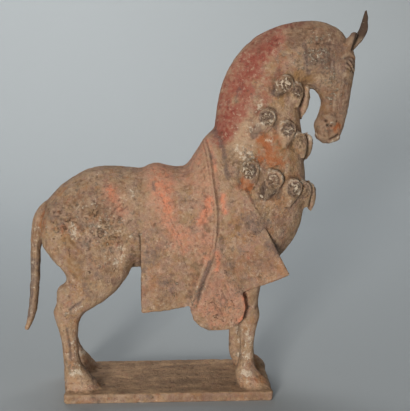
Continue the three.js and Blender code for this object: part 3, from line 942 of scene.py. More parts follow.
# %% [markdown]
# ## Where the paint and the dirt lie
#
# The mane was red and the saddle cloth salmon, and both are worn to patches. The ground added orange and
# grey stains and a white crust. Each of these is a mask here: a number between 0 and 1 for every point of
# the clay, laid down with the same kind of strokes as the relief, only wider. The shader breaks the soft
# edges of a mask with noise, so a few strokes are enough. A painted image could hold the same, but the mesh
# would have to be unwrapped for it.

# %% Brushes for masks
def inside(outline):
    """Whether each point of the clay is inside an outline of the side view."""
    x, _, z = clay.points.T
    odd = np.zeros(clay.count, bool)
    for (x0, z0), (x1, z1) in zip(outline, outline[1:] + outline[:1]):
        if z0 != z1:
            odd ^= ((z > z0) != (z > z1)) & (x < (x1 - x0) * (z - z0) / (z1 - z0) + x0)
    return odd


def patch(outline, soft):
    """1 inside an outline, falling to 0 just outside it, on both sides of the horse."""
    distance, _ = from_side(outline + outline[:1])
    return smoothstep(-soft, soft, np.where(inside(outline), distance, -distance))


def daub(path, width, sides):
    """1 along a path or round a place. On both sides it runs over the top as well."""
    distance, _ = from_side(path)
    facing = 1.0 if sides == BOTH else smoothstep(-0.2, 0.1, sides[0] * clay.normals[:, 1])
    return np.exp(-((distance / width) ** 2)) * facing


def daubed(marks, mask=0.0):
    """Marks over a mask. Each has an amount, a half width in millimetres, its sides and a path."""
    mask = np.zeros(clay.count) + mask
    for amount, width, sides, *path in marks:
        mask = np.maximum(mask, amount * daub(path, width, sides))
    return mask


def lay_down(name, mask):
    """Keeps a mask under a name, and says how much of the clay it covers."""
    paint[name] = mask
    print(name, "covers", round(float((mask > 0.5).mean() * 100), 1), "% of the points")


paint = {}
print("a daub of 10 mm on the rump reaches", int((daub((-50, 150), 10, RIGHT) > 0.5).sum()), "points")

# %% [markdown]
# ## Red and salmon
#
# Red stays thickest along the crest of the mane and thins to rose down the neck. Salmon lies in two worn
# bands down the saddle cloth, on the lobe, and as a smear on the rump. An outline says where a paint may
# lie at all, and the tables of lost paint rub it out again where the photograph shows bare clay.

# %% Lay down the red
CREST = ((33, 196), (36, 215), (42, 240), (54, 262), (70, 281), (90, 293), (118, 296))
# each mark: an amount, a half width in millimetres, its sides and a path in the side view
RED_MARKS = (
    (0.72, 15, BOTH, (43, 205), (50, 222), (58, 242), (68, 258), (80, 272)),
    (0.85, 5, BOTH, (40.4, 226), (42, 237), (47.4, 251), (56.5, 264), (69, 276), (84, 286), (106, 292)),
    (1.0, 5.5, BOTH, (46.5, 205)),
    (0.95, 5, RIGHT, (79.5, 271.5), (82.5, 276)),
    (0.8, 4, RIGHT, (46, 215), (47, 224)),
    (0.7, 4, RIGHT, (59, 247), (66, 259)),
)
ROSE_MARKS = ((0.3, 9, BOTH, (84, 254), (75, 240), (68, 225)), (0.22, 8, BOTH, (66, 212)))
RED_LOST = ((0.9, 4.5, RIGHT, (76.9, 255)), (0.8, 5, RIGHT, (52.8, 230)), (0.6, 4, RIGHT, (66, 243)))
MANE = CREST + MANE_EDGE[::-1]
red_of_mane = daubed(RED_MARKS) * patch(MANE, 5)
lay_down("red", daubed(ROSE_MARKS, red_of_mane) * (1 - daubed(RED_LOST)))

# %% Lay down the salmon
SALMON_MARKS = (
    (0.68, 12, BOTH, (-8, 176.8), (-7.3, 167.8), (-5.1, 159.3), (-2.2, 149.7), (2.3, 140.7), (7.5, 130.3)),
    (0.86, 8, RIGHT, (-6.4, 166), (-3, 157), (1, 148)),
    (0.6, 6, BOTH, (7.5, 130.3), (11.9, 118.3)),
    (0.7, 2.6, BOTH, (30.6, 200.5), (33.4, 193.8), (35.2, 186.6), (36.4, 177)),
    # partly salmon paint and partly painted light, lifting the top of the cloth by the pommel, which the
    # low key leaves dim
    (0.4, 5, BOTH, (26, 196), (22, 184)),
    (0.85, 6, RIGHT, (24.2, 139.1), (29.5, 147.5), (31, 155.9)),
    (0.5, 13, BOTH, (28, 176), (30, 150), (26, 128)),
    (0.66, 16, BOTH, (-6, 174), (-1, 160), (5, 148), (11, 130)),
    (0.5, 12, BOTH, (14, 168), (20, 186)),
    (0.55, 9, BOTH, (27, 198), (23, 184)),
    (0.6, 9, BOTH, (30, 128), (28, 112)),
    (0.9, 3.2, RIGHT, (41.6, 158.7), (41.6, 152.7), (43.1, 146.6)),
    (0.6, 4, BOTH, (28, 131), (27, 117)),
    (0.85, 3, BOTH, (36.7, 117), (38.2, 109.4), (36.7, 103.4)),
    (0.8, 2.4, RIGHT, (60.4, 111.8)),
    (0.85, 6.4, RIGHT, (-43.6, 163), (-42, 156.5)),
    (0.66, 9, RIGHT, (-41, 155), (-37, 149)),
    (0.35, 4, RIGHT, (-46.3, 168.8)),
    (0.85, 3.4, BOTH, (57, 82), (59.8, 71), (54, 64)),
)
SALMON_LOST = ((0.85, 6.5, RIGHT, (11, 157), (13, 143)), (0.5, 7, RIGHT, (48, 118), (52, 128)))
LOBE = (
    (32, 112), (27, 100), (21, 86), (17.6, 77), (20.6, 67), (31, 60), (54, 63.6), (59.8, 71), (57, 82),
    (51, 88), (43.5, 96.5), (37.4, 105),
)
CLOTH = (
    (-13, 184), (-21, 160), (-21, 80), (20, 74), (34, 58), (56, 62), (62, 80), (92, 100), (66, 150),
    (50, 176), (36, 208), (24, 200), (8, 184),
)
thin_salmon = 0.29 * patch(LOBE, 1.5) + 0.2 * patch(CLOTH, 3)
lay_down("salmon", daubed(SALMON_MARKS, thin_salmon) * (1 - daubed(SALMON_LOST)))

# %% [markdown]
# ## Stains from the ground
#
# Iron in the soil left orange on the breast and the muzzle, and grey patches lie where roots and damp
# were. One grey line is painted shade in the groove where the strap tucks under. Brown darkens the head,
# the whole ear and the legs, and ochre is the thinnest of them. They differ only in colour, so all are
# laid down in the same way.

# %% Lay down orange and grey
ORANGE_MARKS = (
    # the head
    (1.2, 2.8, RIGHT, (132.8, 210.6), (132.0, 206.7)),
    (0.5, 6, BOTH, (130, 209)),
    # the neck and the breast
    (1.0, 5, RIGHT, (72, 201), (76, 194), (80, 186)),
    (0.7, 6, RIGHT, (70, 186), (86, 182)),
    (0.62, 15, BOTH, (80, 190)),
    (1.0, 3.2, RIGHT, (76.4, 189.4)),
    (1.4, 4.6, RIGHT, (57.8, 167), (60.6, 165)),
    (0.8, 3, RIGHT, (76, 203.5), (80, 201)),
    # the rump and the thighs
    (0.45, 4, RIGHT, (-78.6, 140), (-78.6, 130)),
    (0.35, 7, RIGHT, (-84, 140)),
    # the tail
    (0.5, 5, BOTH, (-96.7, 129.2), (-95, 142)),
    # the legs and the hooves
    (0.4, 6, BOTH, (68, 22), (72, 14)),
)
GREY_MARKS = (
    # the head
    (0.7, 3.4, BOTH, (105, 272), (107.6, 252)),
    (0.55, 10, BOTH, (124, 268), (118, 258)),
    (0.45, 8, BOTH, (134, 246), (136, 262)),
    (1.3, 6, BOTH, (149, 278), (154, 290), (157.5, 300)),
    (0.7, 3, BOTH, (136, 258), (144, 260)),
    (0.45, 16, BOTH, (128, 262)),
    # the neck and the breast
    (0.6, 3, RIGHT, (53, 231), (57, 240)),
    (0.75, 3, RIGHT, (81.2, 235.3)),
    (1.2, 3.2, RIGHT, (68.5, 209.5), (65.4, 204.5)),
    (0.6, 3.4, RIGHT, (71.9, 159.7)),
    (0.6, 3, RIGHT, (54.8, 166.6)),
    (0.7, 4, RIGHT, (95.1, 164.9)),
    # the saddle cloth and the mudguards
    (0.8, 2.6, BOTH, (36.5, 206), (40, 199.7), (42.8, 192.5), (44.4, 181.5), (45, 172)),
    (0.55, 10, RIGHT, (-14, 119), (-17, 106)),
    (0.75, 8, RIGHT, (60, 140), (69, 134)),
    (0.7, 4.5, RIGHT, (76, 122.3), (84, 115)),
    (0.5, 9, BOTH, (0, 90)),
    (0.85, 2.4, RIGHT, (-10.6, 167), (-9.8, 163)),
    (0.6, 3, RIGHT, (33, 190), (35, 184)),
    # painted shade in the groove where the strap tucks under
    (0.85, 2.4, RIGHT, (31.6, 109), (27.2, 97), (22, 82)),
    # the rump and the thighs
    (0.55, 5, RIGHT, (-89, 141.3), (-78, 139.3)),
    (0.65, 4.5, RIGHT, (-63, 123)),
    (0.65, 4, RIGHT, (-64, 91), (-60, 82)),
    (0.6, 5, RIGHT, (-53, 98)),
    # the tail
    (0.95, 5, BOTH, (-105.5, 104), (-108, 84), (-111, 62)),
    # the legs and the hooves
    (0.7, 1.6, BOTH, (-77.6, 57), (-76.2, 47.7), (-75.9, 39.6), (-76.1, 33)),
    (0.7, 1.8, BOTH, (-75, 72.4), (-70, 75.5), (-65, 78.7)),
)
lay_down("orange", daubed(ORANGE_MARKS))
lay_down("grey", daubed(GREY_MARKS))

# %% Lay down brown and ochre
BROWN_MARKS = (
    # the head
    (1.0, 24, BOTH, (124, 268)),
    (1.3, 9, BOTH, (121, 278), (124, 268)),
    (1.5, 6, BOTH, (97, 274), (103, 280)),
    (0.8, 12, BOTH, (138, 240), (134, 224)),
    (1.45, 14, BOTH, (129, 209)),
    (1.05, 14, BOTH, (106, 286)),
    (0.7, 12, BOTH, (134, 244), (130, 228)),
    (1.6, 9, BOTH, (148, 276), (156, 298)),
    # the neck and the breast
    (0.5, 7, BOTH, (84, 286), (62, 268)),
    # the saddle cloth and the mudguards
    (0.4, 18, BOTH, (84, 112), (-14, 84)),
    (0.4, 20, BOTH, (84, 130)),
    # the rump and the thighs
    (1.2, 3.5, RIGHT, (-41, 92.5)),
    (0.5, 14, BOTH, (-72, 118), (-48, 104)),
    (0.6, 12, BOTH, (-88, 146)),
    (0.7, 6, RIGHT, (-82, 112)),
    (0.55, 26, BOTH, (-56, 150)),
    (0.4, 22, BOTH, (-62, 106)),
    # the tail
    (0.5, 4, BOTH, (-98, 140), (-104, 120), (-106, 90), (-110, 62)),
    # the legs and the hooves
    (0.4, 9, BOTH, (-74, 64), (-73, 30)),
    (0.22, 9, BOTH, (64, 80), (61, 30)),
    (0.5, 8, BOTH, (70, 70), (72, 90)),
    # the slab
    (0.5, 5, BOTH, (-84, 4), (84, 4)),
)
OCHRE_MARKS = (
    # the head
    (0.9, 4.5, BOTH, (100, 249.6), (105, 247.4), (110, 246.4)),
    (0.7, 3, RIGHT, (133.6, 211), (133, 206)),
    (0.5, 5, RIGHT, (118, 205)),
    (0.5, 7, RIGHT, (122, 222), (121, 232)),
    # the neck and the breast
    (0.6, 7, BOTH, (92, 246), (86, 228)),
    (0.5, 7, RIGHT, (66, 196), (60, 176)),
    (0.5, 8, BOTH, (96, 182), (92, 194)),
    (0.6, 4.5, RIGHT, (76.9, 255)),
    # the saddle cloth and the mudguards
    (0.4, 9, RIGHT, (46, 140), (50, 130)),
    # the rump and the thighs
    (1.1, 4.5, RIGHT, (-76, 126), (-73, 122)),
    (0.7, 6, RIGHT, (-72, 110), (-68, 100)),
    # the tail
    (0.5, 6, RIGHT, (-96, 134), (-92, 124)),
    # the legs and the hooves
    (0.5, 6, BOTH, (70, 14), (76, 11)),
)
lay_down("brown", daubed(BROWN_MARKS))
lay_down("ochre", daubed(OCHRE_MARKS))

# %% [markdown]
# ## Dirt and painted shade on the pendants
#
# The caps hold the thickest dirt: grey in the hollows with a pale crust above. A painted shadow runs along
# the front rim of each pendant, where the drop stands off the neck, strongest on its front side. Each
# pendant has its own directions already, so these masks are measured from them and need no strokes. The
# same mask of painted shade darkens the nostrils, the mouth, the lid folds, the gap between the ears, the
# rear edge of the hanging cloth and the whole ear.

# %% Lay down the dirt of the pendants and the painted shade
RIM_AT, RIM_WIDTH = 1.08, 0.08  # as shares of a pendant's half width
CRUST_AT, CRUST_WIDTH = 1.08, 0.22  # as shares of a boss's radius
BOSS_END, DROP_END = 0.98, 0.95
# painted shade: in the nostrils, the ear gap, the mouth, a gather of the lobe and the lid folds, along the
# rear edge of the hanging cloth, and over the whole ear to darken it
CREASE_SHADE_MARKS = (
    *((1.3, 0.8 * radius, BOTH, hole) for hole, radius, _ in NOSTRIL_HOLES),
    (1.3, 0.8, RIGHT, *EAR_GAP),
    (1.0, 0.8, BOTH, *MOUTH),
    (0.35, 0.7, RIGHT, *LOBE_GATHERS[0]),
    (0.8, 0.7, BOTH, *LIDS[0]),
    (0.7, 0.7, BOTH, *LIDS[1]),
    (0.8, 0.7, BOTH, *LIDS[2]),
    (0.9, 0.9, BOTH, (-21.2, 128), (-21.2, 80)),
    (1.1, 6.5, BOTH, (150, 280), (154, 290), (157.5, 300)),
)


def pendant_outline(pendant, across, down):
    """How far out from the middle of a pendant, where 1 is on its outline."""
    top = -1.15 * pendant.radius
    tip = pendant.length + 0.55 * pendant.radius
    return np.hypot(across / (1.08 * pendant.radius), (2 * down - top - tip) / (tip - top))


def pendant_dirt_and_shadow():
    """Grey on bosses and drops, a pale crust above each boss, and a painted shadow along each front rim."""
    grey, crust, rim_shadow = np.zeros((3, clay.count))
    for pendant in PENDANTS:
        across, down, out = pendant.local(clay.points).T
        radius = np.hypot(across, down) / pendant.radius
        outline = pendant_outline(pendant, across, down)
        near = smoothstep(-1.6, -0.9, out / pendant.depth) * smoothstep(4, 2, out)
        boss = pendant.boss_dirt * np.exp(-((radius / BOSS_END) ** 6)) * near
        drop = pendant.drop_dirt * smoothstep(0.6, 1.1, radius) * near
        grey = np.maximum(grey, np.maximum(boss, drop * np.exp(-((outline / DROP_END) ** 6))))
        above = smoothstep(0.2, -0.6, down / pendant.radius)
        ring = np.exp(-(((radius - CRUST_AT) / CRUST_WIDTH) ** 2))
        crust = np.maximum(crust, 0.85 * ring * near * above)
        # a painted shadow along the rim, strongest on the pendant's front side
        forward = (clay.points[:, 0] - pendant.centre[0]) / pendant.radius
        rim = np.exp(-(((outline - RIM_AT) / RIM_WIDTH) ** 2)) * (out / pendant.depth > -2.4) * (out < 4)
        rim_shadow = np.maximum(rim_shadow, rim * (0.3 + 0.7 * smoothstep(-0.4, 0.6, forward)))
    return grey, crust, rim_shadow


cap_grey, cap_crust, front_rim_shadow = pendant_dirt_and_shadow()
lay_down("cap", cap_grey)
# painted shade in creases, with the painted shadow along the pendants' rims
lay_down("crease_shade", daubed(CREASE_SHADE_MARKS, 0.7 * front_rim_shadow))

# %% [markdown]
# ## Crust and bare places
#
# White crust from the ground sits on the rump, the hooves and above the bosses. Where slip and paint have
# gone the clay is paler than elsewhere. Both are broken up by the shader, the crust into small hard flakes
# and the pale clay into soft patches.

# %% Lay down the crust and the pale clay
CRUST_MARKS = (
    # the head
    (0.45, 6, BOTH, (116, 262)),
    (0.5, 2.5, RIGHT, (141.6, 249), (144, 255)),
    (0.6, 2.4, RIGHT, (124.6, 281), (127, 274)),
    (0.5, 2.4, RIGHT, (112, 284), (114, 277)),
    (0.9, 1.6, BOTH, (112.6, 222), (111.6, 214), (112.6, 207)),
    (0.7, 0.9, RIGHT, (126.2, 212.2), (128.6, 212.6)),
    (0.8, 1.2, BOTH, *LOWER_LIP),
    # the neck and the breast
    (0.7, 4.0, RIGHT, (52.5, 193.4), (55.6, 188.6), (61, 185.3)),
    (0.7, 4.5, RIGHT, (58, 192), (65, 188)),
    (0.45, 8, RIGHT, (56, 196), (62, 186), (54, 180)),
    (0.6, 5, RIGHT, (70, 214), (62, 208)),
    (0.3, 8, RIGHT, (60, 212), (52, 204)),
    (0.7, 3.0, RIGHT, (72, 229), (69.6, 223)),
    (0.7, 2.4, RIGHT, (75, 199.5), (80, 201)),
    # the saddle cloth and the mudguards
    (0.4, 5, RIGHT, (5, 84)),
    (0.36, 0.9, RIGHT, (34.4, 112), (31, 101), (27.2, 90.5), (23, 80)),
    (0.36, 0.9, RIGHT, (28.6, 110), (25.2, 100), (20.6, 87.5), (17.8, 79)),
    # the rump and the thighs
    (0.75, 4.5, RIGHT, (-71.5, 136), (-70.3, 128)),
    (0.8, 4, RIGHT, (-35.3, 118.5)),
    (0.6, 4, RIGHT, (-28.8, 127.9)),
    (0.75, 4, RIGHT, (-34.5, 112.5), (-41, 107)),
    (0.5, 5, RIGHT, (-65, 151.9), (-57, 154)),
    (0.55, 3, RIGHT, (-31, 157), (-25, 160)),
    (0.45, 3, RIGHT, (-54.3, 174.4)),
    (0.46, 22, BOTH, (-50, 134)),
    (0.6, 5, RIGHT, (-46, 111)),
    (0.5, 4, RIGHT, (-62, 156), (-70, 148)),
    (0.5, 4, RIGHT, (-28, 161), (-34, 158)),
    # the tail
    (0.45, 5, BOTH, (-103, 130), (-106, 100), (-110, 64)),
    # the legs and the hooves
    (0.95, 3.2, BOTH, (-74.5, 21.4), (-69.5, 22.6)),
    (0.7, 2.4, BOTH, (-79, 69)),
    (0.7, 2.4, BOTH, (-71, 72), (-66.5, 74)),
    (0.5, 3, RIGHT, (-78.6, 36)),
    (0.95, 3.6, BOTH, (59, 19.4), (62.5, 19)),
    (0.6, 2.5, BOTH, (60.6, 13)),
    (0.55, 3.4, BOTH, (57.9, 60)),
    (0.6, 7, BOTH, (62, 52), (60, 30)),
    (0.55, 7, BOTH, (-70, 30), (-72, 46)),
)
PALE_MARKS = (
    # the neck and the breast
    (1.2, 10, BOTH, (64, 216), (56, 198)),
    (0.6, 8, BOTH, (86, 222), (92, 208)),
    # the saddle cloth and the mudguards
    (0.5, 9, BOTH, (24, 182), (28, 168)),
    (0.5, 9, BOTH, (-12, 150), (-14, 172)),
    (1.1, 1.2, RIGHT, (34.4, 112), (31, 101), (27.2, 90.5), (23, 80)),
    (1.1, 1.2, RIGHT, (28.6, 110), (25.2, 100), (20.6, 87.5), (17.8, 79)),
    # the rump and the thighs
    (0.6, 6, RIGHT, (-30, 166), (-26, 152)),
    (0.5, 7, RIGHT, (-62, 176), (-52, 172)),
    (0.7, 7, RIGHT, (-38, 115)),
    (0.7, 6, RIGHT, (-56, 106), (-52, 98)),
    # the legs and the hooves
    (0.6, 7, BOTH, (60, 12), (72, 12)),
    (0.6, 7, BOTH, (-76, 12), (-66, 12)),
)
lay_down("crust", daubed(CRUST_MARKS, cap_crust))
lay_down("pale", daubed(PALE_MARKS))

# %% [markdown]
# ## Pitted and combed places
#
# These two masks say where the surface is roughest: pitted on the rump and the cheek, and combed where a
# brush or a stick ran down the cheek. The shader turns them into specks and fine lines.

# %% Lay down the pitted and combed places
PITTED_MARKS = (
    # the head
    (1.0, 15, BOTH, (114, 266)),
    (0.7, 8, BOTH, (124, 250), (128, 236)),
    (0.6, 10, BOTH, (126, 210)),
    # the neck and the breast
    (0.8, 8, RIGHT, (58, 190), (66, 184)),
    # the saddle cloth and the mudguards
    (0.74, 18, BOTH, (40, 74)),
    (0.5, 10, BOTH, (0, 92)),
    (0.6, 8, BOTH, (70, 130)),
    # the rump and the thighs
    (0.9, 22, BOTH, (-48, 134)),
    (0.8, 18, BOTH, (-78, 136)),
    (0.5, 22, BOTH, (-56, 160)),
    (0.5, 20, BOTH, (-56, 100)),
    # the legs and the hooves
    (0.8, 6, BOTH, (-76, 70)),
    (0.5, 7, BOTH, (-74, 24), (60, 20)),
)
COMBED_MARKS = (
    (1.0, 5.5, BOTH, (136, 250), (133, 236), (131, 222)),
    (0.7, 7, BOTH, (124, 268), (128, 254)),
)
lay_down("pitted", daubed(PITTED_MARKS))
lay_down("combed", daubed(COMBED_MARKS))

# %% [markdown]
# ## Hollows and edges
#
# Hollows are darker, with dirt that stays in them and with painted shade, and edges are rubbed pale. Both
# can be measured: a point that lies below the mean of its surroundings is in a hollow, and one above it is
# on an edge. Blender's pointiness does the same in one renderer only, and it would be lost in the export.

# %% Find hollows, edges and the slab
# rounds of spreading, and the depth in millimetres that counts as full
HOLLOW_SCALES = ((4, 0.10), (16, 0.40))
SLAB_TOP = 8.4
EAR_BASE = 276  # edges stay dark on the whole ear above this height, and on the hanging cloth below HEM
EAR_FRONT = 140
HEM = (126, 120)
HEM_X, HEM_Y = (-26, 97), 31


def hollows():
    """How far each point lies below its surroundings, as a share. Points on edges come out negative."""
    deep = np.zeros(clay.count)
    for rounds, full in HOLLOW_SCALES:
        below = ((clay.spread(clay.points, rounds) - clay.points) * clay.normals).sum(1)
        deep += np.clip(below / full, -1, 1) / len(HOLLOW_SCALES)
    return deep


def rubbed():
    """0 on the whole ear and the hanging cloth, 1 elsewhere."""
    x, y, z = clay.points.T
    on_ear = smoothstep(EAR_BASE, EAR_BASE + 6, z) * (x > EAR_FRONT)
    on_hem = smoothstep(*HEM, z) * (np.abs(y) > HEM_Y) * (x > HEM_X[0]) * (x < HEM_X[1])
    return (1 - on_ear) * (1 - on_hem)


def slab_top():
    facing_up = smoothstep(0.5, 0.9, clay.normals[:, 2])
    return facing_up * smoothstep(SLAB_TOP + 1.2, SLAB_TOP, clay.points[:, 2])


deep = hollows()
# the hollow mask, which the shader darkens as dirt and as painted shade
lay_down("hollow", np.clip(deep, 0, 1))
lay_down("edge", np.clip(-deep, 0, 1) * rubbed())
lay_down("slab_top", slab_top())

# %% [markdown]
# ## Writing a material as sums
#
# A shader is a graph of small nodes. Written out one by one it is long and hard to read, so a node's output
# is wrapped in a class that knows + - and *, and each sum then adds its own Math node. Colours never go
# through Math nodes, which would turn them grey; they are mixed by Mix nodes instead. Every other node
# comes from one method that takes its type, its settings and the values or links of its sockets.

# %% Wires
class Wire:
    """A node's output that can be used in sums."""

    def __init__(self, bench, socket):
        self.bench = bench
        self.socket = socket

    def _math(self, operation, first, second):
        return self.bench.node("ShaderNodeMath", {"operation": operation}, {0: first, 1: second})

    def __add__(self, other):
        return self._math("ADD", self, other)

    def __sub__(self, other):
        return self._math("SUBTRACT", self, other)

    def __rsub__(self, other):
        return self._math("SUBTRACT", other, self)

    def __mul__(self, other):
        return self._math("MULTIPLY", self, other)

    __radd__ = __add__
    __rmul__ = __mul__

    def above(self, level, soft):
        """0 below a level and 1 above it, with a soft step between."""
        ends = {"Value": self, "From Min": level - soft, "From Max": level + soft}
        return self.bench.node("ShaderNodeMapRange", {"interpolation_type": "SMOOTHSTEP"}, ends)


print("wires can be added, taken from each other and multiplied")

# %% The mixing bench
MIX_UNDER, MIX_OVER, MIX_RESULT = 6, 7, 2  # the colour sockets of a Mix node, by their places


class Bench:
    """One material and the ways to add nodes to it."""

    def __init__(self, name):
        self.material = bpy.data.materials.new(name)
        self.material.use_nodes = True
        self.tree = self.material.node_tree
        self.shader = self.tree.nodes["Principled BSDF"]
        self.place = self.node("ShaderNodeTexCoord", out="Object")

    def node(self, kind, settings=None, sockets=None, out=0):
        """Adds a node: its settings first, then the values or links of its sockets."""
        added = self.tree.nodes.new(kind)
        for name, value in (settings or {}).items():
            setattr(added, name, value)
        for name, value in (sockets or {}).items():
            self.plug(value, added.inputs[name])
        return Wire(self, added.outputs[out])

    def plug(self, value, socket):
        if isinstance(value, Wire):
            self.tree.links.new(value.socket, socket)
        else:
            socket.default_value = value

    def mix(self, under, over, share):
        """One colour over another. The share of the upper one is a number or a wire."""
        sockets = {"Factor": share, MIX_UNDER: under, MIX_OVER: over}
        return self.node("ShaderNodeMix", {"data_type": "RGBA"}, sockets, MIX_RESULT)

    def mask(self, name):
        """A mask that was laid down on the clay, read back from the mesh."""
        return self.node("ShaderNodeAttribute", {"attribute_name": name}, out="Fac")

    def mottle(self, size, seed, detail=3.0, roughness=0.55, place=None, twist=0.0):
        """Noise with lumps of a size in millimetres. Twist curls the lumps into squiggles."""
        sockets = {"Vector": place or self.place, "W": seed, "Scale": 1 / (size * MM)}
        sockets.update({"Detail": detail, "Roughness": roughness, "Distortion": twist})
        return self.node("ShaderNodeTexNoise", {"noise_dimensions": "4D"}, sockets)

    def stretched(self, x, y, z):
        """The place on the object with each axis squeezed, so that noise becomes streaks."""
        return self.node("ShaderNodeVectorMath", {"operation": "MULTIPLY"}, {0: self.place, 1: (x, y, z)})


def light(channel):
    """A value as it is read off a screen, from 0 to 255, as the share of light that it stands for."""
    share = channel / 255
    if share <= 0.04045:
        return share / 12.92
    return ((share + 0.055) / 1.055) ** 2.4


def screen(red, green, blue):
    """A screen's colour as a shader takes it."""
    return (light(red), light(green), light(blue), 1)


bench = Bench("earthenware")
print("half of a screen's range is", round(light(127.5), 3), "of its light")

# %% [markdown]
# ## Earthenware
#
# Bare clay is never one colour: it goes from tan to orange and pink where it fired hotter, with dust and
# ash in patches of a few millimetres. Each tone is laid over the last through its own noise. The top of
# the slab gets tones of its own, lighter than the clay as painted light, since the low key leaves it dim,
# and streaked along its length, as if it had been wiped. The pale clay goes over all of it as a soft wash.

# %% Clay tones
TAN = screen(159, 130, 99)
HOT_CLAY = screen(166, 116, 78)
MAUVE = screen(159, 129, 113)
PALE_CLAY = screen(196, 164, 136)
OCHRE_CLAY = screen(160, 124, 82)
DUST = screen(124, 110, 98)
PALE_DUST = screen(206, 178, 152)
SOOT = screen(90, 66, 46)
BROWN = screen(116, 87, 71)
# the slab's top tones are painted light: lighter than the clay, so that the dimly lit top is not too dark
SLAB_LIT_BROWN = screen(210, 171, 132)
SLAB_DARK = screen(158, 128, 98)
SLAB_SHARE = 0.85
WASH_SHARE = 0.55
CLAY_LAYERS = (
    # a tone, the size of its patches in millimetres, the level and softness of their edges, and its share
    (HOT_CLAY, 16, 0.53, 0.05, 0.65),
    (MAUVE, 9, 0.52, 0.04, 0.7),
    (OCHRE_CLAY, 8, 0.56, 0.04, 0.5),
    (DUST, 10, 0.57, 0.04, 0.65),
    (BROWN, 6, 0.57, 0.05, 0.4),
    (SOOT, 11, 0.56, 0.05, 0.26),
    (PALE_DUST, 10, 0.56, 0.05, 0.34),
    (PALE_DUST, 5, 0.57, 0.05, 0.35),
    (PALE_DUST, 3, 0.58, 0.06, 0.6),
    (SOOT, 3, 0.59, 0.06, 0.6),
)

skin = TAN
for seed, (tone, size, level, soft, share) in enumerate(CLAY_LAYERS):
    patches = bench.mottle(size, seed, detail=8, roughness=0.75).above(level, soft)
    skin = bench.mix(skin, tone, patches * share)
streaks = bench.mottle(size=9, seed=9, detail=5, place=bench.stretched(0.4, 1, 1))
slab = bench.mix(SLAB_LIT_BROWN, SLAB_DARK, streaks.above(0.52, 0.16))
skin = bench.mix(skin, slab, bench.mask("slab_top") * SLAB_SHARE)
soft_patches = bench.mottle(size=5, seed=34, detail=5, roughness=0.7)
wash = (bench.mask("pale") + (soft_patches - 0.5) * 1.6).above(0.5, 0.5)
skin = bench.mix(skin, PALE_CLAY, wash * WASH_SHARE)
print(len(bench.tree.nodes), "nodes after the clay tones")

# %% [markdown]
# ## Paint
#
# The paint is thick in the middle of a mask and thin at its edge, where the clay shows through and noise
# flakes it off. So a paint is two tones and a cover: the mask with noise added, cut at a level.

# %% Mix the paints
RED = screen(140, 62, 52)
ROSE = screen(156, 92, 77)
DARK_RED = screen(104, 62, 52)
SALMON = screen(226, 137, 102)
PALE_SALMON = screen(192, 138, 115)
FLECK = 2.6  # millimetres


def worn(mask, size, seed, level, soft, wear):
    """A paint's cover: full where its mask is strong, and flaked off by noise where it is weak."""
    flakes = bench.mottle(size, seed, detail=6, roughness=0.7)
    return (bench.mask(mask) + (flakes - 0.5) * wear).above(level, soft)


def specks(seed):
    return bench.mottle(FLECK, seed, detail=5, roughness=0.75).above(0.58, 0.05)


def paint_tone(mask, thin, thick, size, seed, flecks):
    """A paint's colour: thin at the edge of its mask, thick inside, with pale and dark flecks in it."""
    depth = bench.mask(mask) + bench.mottle(size, seed, detail=6, roughness=0.7) * 1.6
    tone = bench.mix(thin, thick, depth.above(1.5, 0.3))
    tone = bench.mix(tone, PALE_DUST, specks(seed + 60) * flecks * 0.8)
    return bench.mix(tone, DARK_RED, specks(seed + 40) * flecks)


red_tone = paint_tone("red", ROSE, RED, size=5, seed=11, flecks=0.6)
red_cover = worn("red", size=6, seed=12, level=0.32, soft=0.35, wear=1.8)
skin = bench.mix(skin, red_tone, red_cover * 0.94)
salmon_tone = paint_tone("salmon", PALE_SALMON, SALMON, size=4, seed=13, flecks=0.62)
salmon_cover = worn("salmon", size=5, seed=14, level=0.46, soft=0.5, wear=1.7)
skin = bench.mix(skin, salmon_tone, salmon_cover * 0.85)
print(len(bench.tree.nodes), "nodes after the paint")

# %% [markdown]
# ## Stains, dirt, painted shade and crust
#
# The rest goes on in the order in which it came to the real thing, with painted shade among it: stains,
# then dirt in the squiggles of the caps, dirt and painted shade in hollows, painted shade in creases, then
# rubbed edges, and the crust last. A squiggle's groove is where a twisted noise passes through its middle
# value, so the noise less that value, squared, is small along a line.

# %% Mix the stains, the dirt, the painted shade and the crust
ORANGE = screen(164, 92, 50)
OCHRE = screen(150, 112, 68)
GREY = screen(106, 90, 84)
# an earth colour, for dirt and also for painted shade in hollows and creases
EARTH_AND_SHADE = screen(70, 52, 38)
WORN_EDGE = screen(190, 162, 132)
CRUST = screen(212, 196, 174)
CAP_PATTERN = 3.6  # millimetres
STAINS = (
    # a tone and its mask, the size and seed of its flakes, the level, softness and wear, and its share
    (OCHRE, "ochre", 6, 27, 0.5, 0.35, 2.4, 0.7),
    (BROWN, "brown", 9, 24, 0.5, 0.45, 1.8, 0.7),
    (ORANGE, "orange", 5, 15, 0.55, 0.4, 2.6, 0.82),
    (GREY, "grey", 4, 16, 0.5, 0.3, 2.4, 0.65),
)

for tone, mask, size, seed, level, soft, wear, share in STAINS:
    skin = bench.mix(skin, tone, worn(mask, size, seed, level, soft, wear) * share)
squiggle = bench.mottle(CAP_PATTERN, seed=25, detail=2, twist=1.0)
off_line = (squiggle - 0.5) * (squiggle - 0.5)
groove = 1 - off_line.above(0.0035, 0.003)
cap_tone = bench.mix(bench.mix(GREY, CRUST, squiggle.above(0.56, 0.05)), EARTH_AND_SHADE, groove * 0.85)
on_caps = worn("cap", size=3.5, seed=26, level=0.5, soft=0.3, wear=1.6)
skin = bench.mix(skin, cap_tone, on_caps * 0.75)
